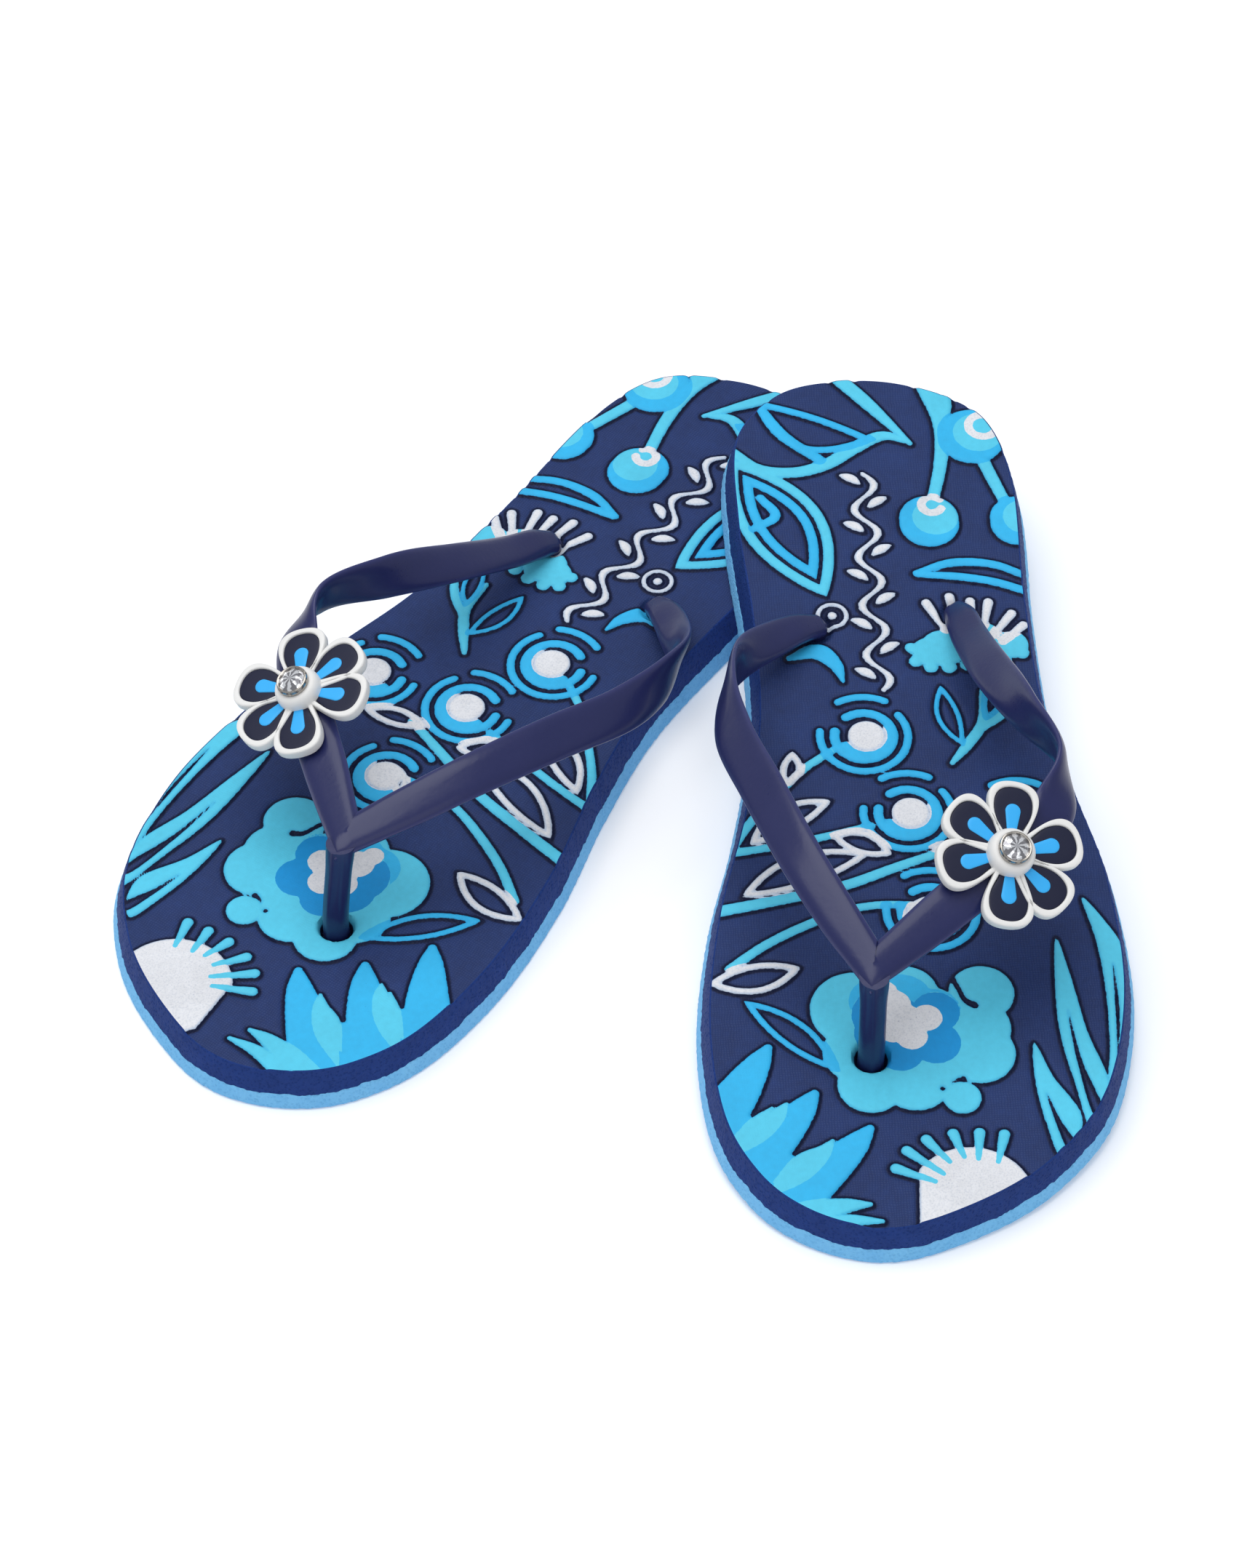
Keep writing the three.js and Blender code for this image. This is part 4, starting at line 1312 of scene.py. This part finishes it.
@dataclass
class Strap:
    """The one-piece thong strap: two arms to a V over the toe post, and three plugs."""

    tip: tuple[float, float, float] = (69.6, -12.3, 26.4)
    mitre: tuple[float, float] = (0.17, 1.0)
    post_radius: float = 3.1
    post_lean: float = 2.2
    plug_radius: float = 7.0
    plug_low: float = 0.6
    plug_high: float = 3.0
    steps: int = 24
    corners: int = 40

    def arm(self, outer: bool) -> list[Station]:
        """The stations of one arm, from its hole to just past the tip."""
        x, y, z = self.tip
        if outer:
            hx, hy = OUTER_HOLE
            return [
                Station(hx, hy, 1.2, (0.5, -0.8, -0.3), 6.4, 4.6),
                Station(hx + 5, hy + 0.8, 4.4, (0.5, -0.8, -0.3), 8.2, 4.2),
                Station(-41, 18.5, 9, (0.45, -0.85, -0.3), 9, 3.4),
                Station(-23, 21.5, 19, (0.3, -0.8, -0.5), 10, 2.8),
                Station(-2, 27.5, 28.5, (0.1, -0.4, -0.9), 10.8, 2.6),
                Station(15.5, 34.5, 32, (-0.1, 0.1, -0.95), 11, 2.6),
                Station(29, 31.5, 30.3, (0.6, 0.62, -0.5), 11.2, 2.7),
                Station(42, 19.5, 29.3, (0.7, 0.61, -0.38), 11.5, 2.9),
                Station(56, 3.5, 27.4, (0.72, 0.6, -0.35), 10.8, 3.1),
                Station(x, y, z, (0.76, 0.55, -0.35), 8.4, 3.4),
                Station(x + 7, y - 9, z, (0.76, 0.55, -0.35), 8, 3.4)]
        hx, hy = INNER_HOLE
        return [
            Station(hx, hy, 1.2, (0.85, 0.5, -0.2), 6.4, 4.6),
            Station(hx + 3, hy - 4.5, 4.2, (0.85, 0.5, -0.2), 8.2, 4.2),
            Station(-43, -28, 7.5, (0.8, 0.45, -0.4), 9, 3.4),
            Station(-33, -36.5, 12.5, (0.5, 0.2, -0.8), 10, 2.8),
            Station(-19, -41, 17.5, (0.1, -0.3, -0.95), 10.8, 2.6),
            Station(-3, -40.5, 21.5, (0, -0.7, -0.7), 11, 2.6),
            Station(17, -35, 26.5, (0.25, -0.8, -0.55), 11, 2.7),
            Station(40, -27.5, 30, (0.35, -0.8, -0.45), 10.5, 2.9),
            Station(57, -19.5, 28.8, (0.4, -0.8, -0.4), 9.8, 3.1),
            Station(x, y, z, (0.45, -0.8, -0.35), 8.4, 3.4),
            Station(x + 9, y + 5, z - 1, (0.45, -0.8, -0.35), 8, 3.4)]

    def section(self) -> tuple[np.ndarray, np.ndarray, np.ndarray]:
        """The band's cross-section.

        Returns:
            Shares across, shares of the thickness, and how close each point is to a thin edge.
        """
        angle = np.linspace(0, 2 * math.pi, self.corners, endpoint=False)
        c, s = np.cos(angle), np.sin(angle)
        across = 0.5 * np.sign(c) * np.abs(c) ** 0.75
        reach = np.abs(2 * across)
        domed = 0.5 * (1 - reach**3.6) ** 0.62
        flange = 0.17 * np.clip((1 - reach) / 0.035, 0, 1) ** 0.5
        up = np.sign(s) * np.maximum(domed, flange)
        return across, np.where(up > 0, up, 0.86 * up), smooth(reach, 0.8, 0.97)

    def band(self, outer: bool) -> tuple[np.ndarray, np.ndarray]:
        """One arm's rings from its rounded rear end to the mitre.

        Args:
            outer: whether it is the arm on the foot's outer side.

        Returns:
            The rings, and how thin the band is at each point.
        """
        stations = self.arm(outer)
        last = len(stations) - 2
        knots = np.linspace(0, last, last * self.steps + 1)
        rows = np.array([s.row() for s in stations])
        middle = spline(rows[:, :3], knots)
        across = spline(rows[:, 3:6], knots)
        size = spline(np.column_stack([rows[:, 6:], np.zeros(len(rows))]), knots)[:, :2]
        nearby = 0.02
        ahead = spline(rows[:, :3], knots + nearby) - spline(rows[:, :3], np.maximum(knots - nearby, 0))
        ahead /= np.linalg.norm(ahead, axis=1, keepdims=True)
        across -= ahead * (across * ahead).sum(1, keepdims=True)
        across /= np.linalg.norm(across, axis=1, keepdims=True)
        up = np.cross(ahead, across) * (1 if outer else -1)
        a, b, thin = self.section()
        offset = (across[:, None] * (a[:, None] * size[:, None, :1])
                  + up[:, None] * (b[:, None] * size[:, None, 1:]))
        rings = middle[:, None] + offset
        rounded = []
        for turn in np.radians((88, 72, 54, 36, 18)):
            back = -ahead[0] * 2.6 * math.sin(turn)
            rounded.append(middle[0] + back + offset[0] * math.cos(turn))
        rings = np.concatenate([np.array(rounded), rings])
        ahead = np.concatenate([np.repeat(ahead[:1], 5, 0), ahead])
        return self.to_mitre(rings, ahead, outer), np.repeat(thin[None], len(rings), 0)

    def to_mitre(self, rings: np.ndarray, ahead: np.ndarray, outer: bool) -> np.ndarray:
        """Slides points that reach past the mitre plane back to it, and the last ring onto it."""
        x, y, z = self.tip
        tip = np.array([x, y, SOLE.top_at(x) + z])
        normal = np.array([*self.mitre, 0.0]) / np.hypot(*self.mitre) * (-1 if outer else 1)
        past = (rings - tip) @ normal
        speed = (ahead @ normal)[:, None]
        slide = np.where((past > 0) & (speed > 0.1), past / np.maximum(speed, 0.1), 0)
        slide[-1] = past[-1] / speed[-1]
        return rings - ahead[:, None] * slide[..., None]

    def arms(self, part: Part) -> None:
        """Adds both arms as one skin through the V."""
        outer, outer_thin = self.band(True)
        inner, inner_thin = self.band(False)
        shared = (outer[-1] + inner[-1]) / 2
        rings = np.concatenate([outer[:-1], shared[None], inner[-2::-1]])
        thin = np.concatenate([outer_thin[:-1], outer_thin[-1:], inner_thin[-2::-1]])
        part.rings(rings, thin=thin)

    def post(self, part: Part) -> None:
        """Adds the toe post, from in the footbed's hole up into the tip."""
        foot = SOLE.top_at(TOE_HOLE[0])
        x, y, z = self.tip
        path = spline([(*TOE_HOLE, foot - 4), (*TOE_HOLE, foot + 4), (x + self.post_lean, y, foot + z)],
                      np.linspace(0, 2, 26))
        angle = np.linspace(0, 2 * math.pi, 36, endpoint=False)
        seam = 1 + 0.09 * np.exp(-((np.sin(angle / 2) / 0.1) ** 2))
        swell = 1 + 0.12 * smooth(np.linspace(0, 1, 26), 0.8, 1.0)
        ring = np.stack([np.cos(angle) * seam, np.sin(angle) * seam, np.zeros(36)], -1) * self.post_radius
        part.rings(path[:, None] + ring * swell[:, None, None])

    def plugs(self, part: Part) -> None:
        """Adds the necks down through the sole and the round plugs under it."""
        r, low, high = self.plug_radius, self.plug_low, self.plug_high
        for hole in (TOE_HOLE, OUTER_HOLE, INNER_HOLE):
            top = SOLE.top_at(hole[0]) + 1.0
            profile = [(2.2, low + 0.35), (2.6, low), (r - 0.6, low), (r - 0.15, low + 0.2), (r, low + 0.6),
                       (r, high - 0.5), (r - 0.4, high - 0.1), (3.4, high), (2.7, high + 1.2), (2.6, top)]
            part.rings(turned(profile, 48) + np.array([*hole, 0]))

    def make(self, side: Side, lie: Lie, finishes: Finishes) -> bpy.types.Object:
        """Builds one side's strap.

        Args:
            side: which foot it is for.
            lie: where the sandal lies.
            finishes: the materials.

        Returns:
            The piece.
        """
        part = Part()
        self.arms(part)
        self.post(part)
        self.plugs(part)
        return part.build(f"{side.value}_strap_moulding", lie, lie.mirrored, [finishes.strap], 50)


# ---------------------------------------------------------------- flower charm


@dataclass
class Charm:
    """The six-petalled flower charm: rims and dome, navy fills and blue drops."""

    petals: tuple[float, ...] = (0, 57, 110, 182, 232, 290)
    base: float = 2.6
    floor: float = 1.1
    root: float = 3.0
    tip: float = 17.7
    half_root: float = 3.0
    half_width: float = 6.05
    rim: float = 1.4
    dome_radius: float = 5.7
    dome_height: float = 3.0
    drop_end: float = 12.2
    drop_half: float = 1.85

    def petal(self, inset: float, root: float | None = None) -> np.ndarray:
        """A petal's outline along +X, drawn in from its edge by an inset.

        Args:
            inset: how far in from the edge.
            root: where it starts, or None for the usual place.

        Returns:
            The outline's points, anticlockwise.
        """
        start = (self.root if root is None else root) + inset * 0.3
        tip, narrow, wide = self.tip - inset, self.half_root - 0.8 * inset, self.half_width - inset
        curves = (
            ((start, -narrow), (start + 3, -narrow - 0.6), (tip - 8, -wide), (tip - 4.6, -wide)),
            ((tip - 4.6, -wide), (tip - 1.4, -wide), (tip, -wide * 0.62), (tip, 0)),
            ((tip, 0), (tip, wide * 0.62), (tip - 1.4, wide), (tip - 4.6, wide)),
            ((tip - 4.6, wide), (tip - 8, wide), (start + 3, narrow + 0.6), (start, narrow)))
        t = np.linspace(0, 1, 18, endpoint=False)[:, None]
        outline = []
        for p0, p1, p2, p3 in (np.array(c) for c in curves):
            outline.append((1 - t)**3 * p0 + 3 * (1 - t)**2 * t * p1 + 3 * (1 - t) * t**2 * p2 + t**3 * p3)
        back = np.linspace(narrow, -narrow, 8, endpoint=False)[:, None]
        outline.append(np.hstack([np.full((8, 1), start), back]))
        return np.vstack(outline)

    def drop(self, inset: float) -> np.ndarray:
        """A drop's outline along +X, its round wide end outwards."""
        start, tip, wide = self.dome_radius - 0.4 + inset, self.drop_end - inset, self.drop_half - inset
        angle = np.linspace(-math.pi / 2, math.pi / 2, 20)
        end = np.stack([tip - wide + wide * np.cos(angle), wide * np.sin(angle)], -1)
        side = np.linspace(start, tip - wide, 8, endpoint=False)
        narrow = wide * 0.6
        half = narrow + (wide - narrow) * (side - start) / (tip - wide - start)
        return np.vstack([np.stack([side, -half], -1), end, np.stack([side, half], -1)[::-1]])

    @staticmethod
    def turn(points: np.ndarray, degrees: float) -> np.ndarray:
        """Turns points about +Z."""
        c, s = math.cos(math.radians(degrees)), math.sin(math.radians(degrees))
        return points @ np.array([[c, s, 0], [-s, c, 0], [0, 0, 1]])

    def stack(self, part: Part, levels: Sequence[tuple[np.ndarray, float]], degrees: float) -> None:
        """Adds a skin over outlines at rising heights.

        Args:
            part: the mesh.
            levels: each outline and its height, from the bottom round to the middle of the top.
            degrees: the direction it is turned to.
        """
        rings = np.array([np.column_stack([outline, np.full(len(outline), z)]) for outline, z in levels])
        part.rings(self.turn(rings.reshape(-1, 3), degrees).reshape(rings.shape))

    def rims(self, side: Side, seat: Seat, finishes: Finishes) -> bpy.types.Object:
        """Builds the white rims, floors and dome."""
        part = Part()
        top = self.base
        profile = ((0.5, 0.0), (0.12, 0.1), (0.0, 0.45), (0.0, top - 0.5), (0.05, top - 0.28),
                   (0.17, top - 0.1), (0.34, top), (1.08, top), (1.25, top - 0.08),
                   (1.36, top - 0.25), (self.rim, top - 0.5), (1.42, self.floor))
        for direction in self.petals:
            self.stack(part, [(self.petal(inset), z) for inset, z in profile], direction)
        dome = [(0.2, 0.1), (5.4, 0.1), (self.dome_radius, 0.4),
                (self.dome_radius + 0.05, self.base - 0.3), (self.dome_radius - 0.03, self.base + 0.25)]
        flat = 4.1
        for step in range(1, 9):
            angle = step / 8 * math.pi / 2
            dome.append((flat + (self.dome_radius - flat) * math.cos(angle),
                         self.base + 0.25 + (self.dome_height - 0.25) * math.sin(angle)))
        part.rings(turned([*dome, (0.2, self.base + self.dome_height)], 72))
        return part.build(f"{side.value}_charm_rims", seat, False, [finishes.white], 55)

    def fills(self, side: Side, seat: Seat, finishes: Finishes) -> bpy.types.Object:
        """Builds the six navy fills, softly crowned and sunk a little under the rims."""
        part = Part()
        top, rim = self.base - 0.42, self.rim
        levels = ((rim + 0.03, self.floor), (rim + 0.03, top - 0.16), (rim + 0.12, top - 0.04),
                  (rim + 0.4, top), (rim + 1.4, top + 0.05), (rim + 2.6, top + 0.07))
        for direction in self.petals:
            self.stack(part, [(self.petal(inset, 3.6), z) for inset, z in levels], direction)
        return part.build(f"{side.value}_charm_fills", seat, False, [finishes.petal], 55)

    def drops(self, side: Side, seat: Seat, finishes: Finishes) -> bpy.types.Object:
        """Builds the six blue drops, standing a little proud of the fills."""
        part = Part()
        top = self.base - 0.18
        levels = ((0.0, self.floor), (0.0, top - 0.22), (0.07, top - 0.07), (0.25, top),
                  (0.7, top + 0.05), (1.1, top + 0.06))
        for direction in self.petals:
            self.stack(part, [(self.drop(inset), z) for inset, z in levels], direction)
        return part.build(f"{side.value}_charm_drops", seat, False, [finishes.drop], 55)


@dataclass
class Rivet:
    """The plated cap that holds a cut stone in the middle of a charm."""

    seat_height: float = 5.6
    cap_radius: float = 3.9
    cap_height: float = 1.8
    stone_radius: float = 3.3
    stone_height: float = 1.3

    def cap(self, side: Side, seat: Seat, finishes: Finishes) -> bpy.types.Object:
        """Builds the cap: a rolled bezel round the stone."""
        r, h, z = self.cap_radius, self.cap_height, self.seat_height + 0.1
        profile = [(0.1, z - 1), (r - 0.5, z - 1), (r - 0.5, z), (r - 0.1, z + 0.05), (r, z + 0.3),
                   (r - 0.02, z + h - 0.6), (r - 0.14, z + h - 0.22), (r - 0.36, z + h - 0.1),
                   (r - 0.6, z + h - 0.2), (r - 0.68, z + h - 0.5), (0.1, z + h - 0.5)]
        part = Part()
        part.rings(turned(profile, 64))
        return part.build(f"{side.value}_rivet_bezel", seat, False, [finishes.steel], 40)

    def stone(self, side: Side, seat: Seat, finishes: Finishes) -> bpy.types.Object:
        """Builds the stone: a round brilliant's crown with eight main facets."""
        z = self.seat_height + self.cap_height - 0.62
        sides = 16
        rings = []
        for radius, height, shift in ((1.0, 0, 0), (1.0, 0.25, 0), (0.78, 0.62, 0.5), (0.5, 1.0, 0)):
            angle = (np.arange(sides) + shift) * 2 * math.pi / sides
            lift = np.where(np.arange(sides) % 2 == 0, 0.0, -0.1) * (0 < height < 1)
            rings.append(np.stack([self.stone_radius * radius * np.cos(angle),
                                   self.stone_radius * radius * np.sin(angle),
                                   z + self.stone_height * (height + lift)], -1))
        part = Part()
        part.rings(np.array(rings))
        return part.build(f"{side.value}_cut_stone", seat, False, [finishes.stone], 1)


# ---------------------------------------------------------------- one sandal


@dataclass
class Sandal:
    """One whole sandal: it builds its pieces, sets them on their bodies and hides the CAD's."""

    side: Side
    finishes: Finishes

    def settle(self, piece: bpy.types.Object, body: str, slot: str, *nodes: str) -> None:
        """Sets a piece on its body in place of CAD nodes.

        Args:
            piece: the piece.
            body: the body's name without its side.
            slot: the record's material slot; not used.
            *nodes: the CAD nodes' names without their side.
        """
        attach(piece, f"{self.side.value}_{body}")
        if nodes:
            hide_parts(*(f"{self.side.value}_{node}" for node in nodes))

    def build(self) -> None:
        """Builds every piece of the sandal."""
        side, finishes = self.side, self.finishes
        lie, seat = Lie(side), Seat(side)
        self.settle(Outsole().make(side, lie, finishes), "sandal", "blue_foam", "outsole")
        self.settle(Footbed().make(side, lie, finishes), "sandal", "navy_foam", "footbed")
        self.settle(Strap().make(side, lie, finishes), "sandal", "strap", "strap")
        charm, rivet = Charm(), Rivet()
        fills, drops = ([f"petal_{kind}_{i}" for i in range(1, 7)] for kind in ("fill", "drop"))
        self.settle(charm.rims(side, seat, finishes), "charm", "charm_white", "charm_base")
        self.settle(charm.fills(side, seat, finishes), "charm", "petal_navy", *fills)
        self.settle(charm.drops(side, seat, finishes), "charm", "petal_drop", *drops)
        self.settle(rivet.cap(side, seat, finishes), "sandal", "rivet", "rivet_cap")
        self.settle(rivet.stone(side, seat, finishes), "sandal", "stone", "stone")
        back = frame["nodes"][f"{side.value}_rivet_back"]
        back.data.materials.clear()
        back.data.materials.append(finishes.steel)


# ---------------------------------------------------------------- studio


@dataclass
class Studio:
    """A plain white floor, soft light from above and the camera."""

    distance: float = 1.306
    elevation: float = 47.84
    lens: float = 123.2
    sensor: float = 36.0
    aside: tuple[float, float] = (0.0019, 0.0068)
    reach: float = 6.0
    drop: float = 0.0002
    air: tuple[float, float, float, float] = (0.93, 0.96, 1.0, 1)
    air_strength: float = 0.52

    def floor(self) -> None:
        """Builds the floor."""
        mesh = bpy.data.meshes.new("studio_floor")
        corners = [(x * self.reach, y * self.reach, 0) for x, y in ((-1, -1), (1, -1), (1, 1), (-1, 1))]
        mesh.from_pydata(corners, [], [(0, 1, 2, 3)])
        floor = bpy.data.objects.new("studio_floor", mesh)
        floor.location.z = -self.drop
        bpy.context.scene.collection.objects.link(floor)
        paper = bpy.data.materials.new("white_paper")
        paper.use_nodes = True
        shader = paper.node_tree.nodes["Principled BSDF"]
        for key, value in (("Base Color", (0.93, 0.93, 0.935, 1)), ("Roughness", 0.9),
                           ("Specular IOR Level", 0.1), ("Emission Color", (0.95, 0.96, 1, 1)),
                           ("Emission Strength", 0.16)):
            shader.inputs[key].default_value = value
        mesh.materials.append(paper)

    def light(self, name: str, at: tuple[float, float, float], size: float, power: float) -> None:
        """Adds a square soft light that faces the middle of the floor.

        Args:
            name: its name.
            at: where it hangs, in metres.
            size: its side.
            power: its power in watts.
        """
        lamp = bpy.data.lights.new(name, "AREA")
        lamp.size = size
        lamp.energy = power
        holder = bpy.data.objects.new(name, lamp)
        holder.location = at
        holder.rotation_euler = (-Vector(at)).to_track_quat("-Z", "Y").to_euler()
        bpy.context.scene.collection.objects.link(holder)

    def camera(self) -> None:
        """Sets the camera over the toes, looking at the pair's middle."""
        low, high = (Vector(c) for c in CAD_BOX)
        middle = (low + high) / 2
        target = Vector((middle.x + self.aside[0], middle.y + self.aside[1], 0))
        angle = math.radians(self.elevation)
        lens = bpy.data.cameras.new("camera")
        lens.lens = self.lens
        lens.sensor_width = self.sensor
        holder = bpy.data.objects.new("camera", lens)
        holder.location = target + Vector((0, -math.cos(angle), math.sin(angle))) * self.distance
        holder.rotation_euler = (math.radians(90) - angle, 0, 0)
        bpy.context.scene.collection.objects.link(holder)
        bpy.context.scene.camera = holder

    def build(self) -> None:
        """Sets up floor, lights, surroundings and camera."""
        self.floor()
        self.light("overhead", (-0.3, 0.25, 1.6), 1.6, 20)
        self.light("front_fill", (0.5, -1.3, 1.1), 1.2, 3)
        world = bpy.data.worlds.new("studio_air")
        world.use_nodes = True
        sky = world.node_tree.nodes["Background"]
        sky.inputs["Color"].default_value = self.air
        sky.inputs["Strength"].default_value = self.air_strength
        bpy.context.scene.world = world
        bpy.context.scene.view_settings.view_transform = "Standard"
        self.camera()


def main() -> None:
    """Builds both sandals and the studio."""
    logging.basicConfig(level=logging.INFO, format="%(message)s")
    Studio().build()
    finishes = Finishes()
    for side in Side:
        log.info("%s sandal", side.value)
        Sandal(side, finishes).build()
    bpy.context.view_layer.update()


if __name__ == "__main__":
    main()
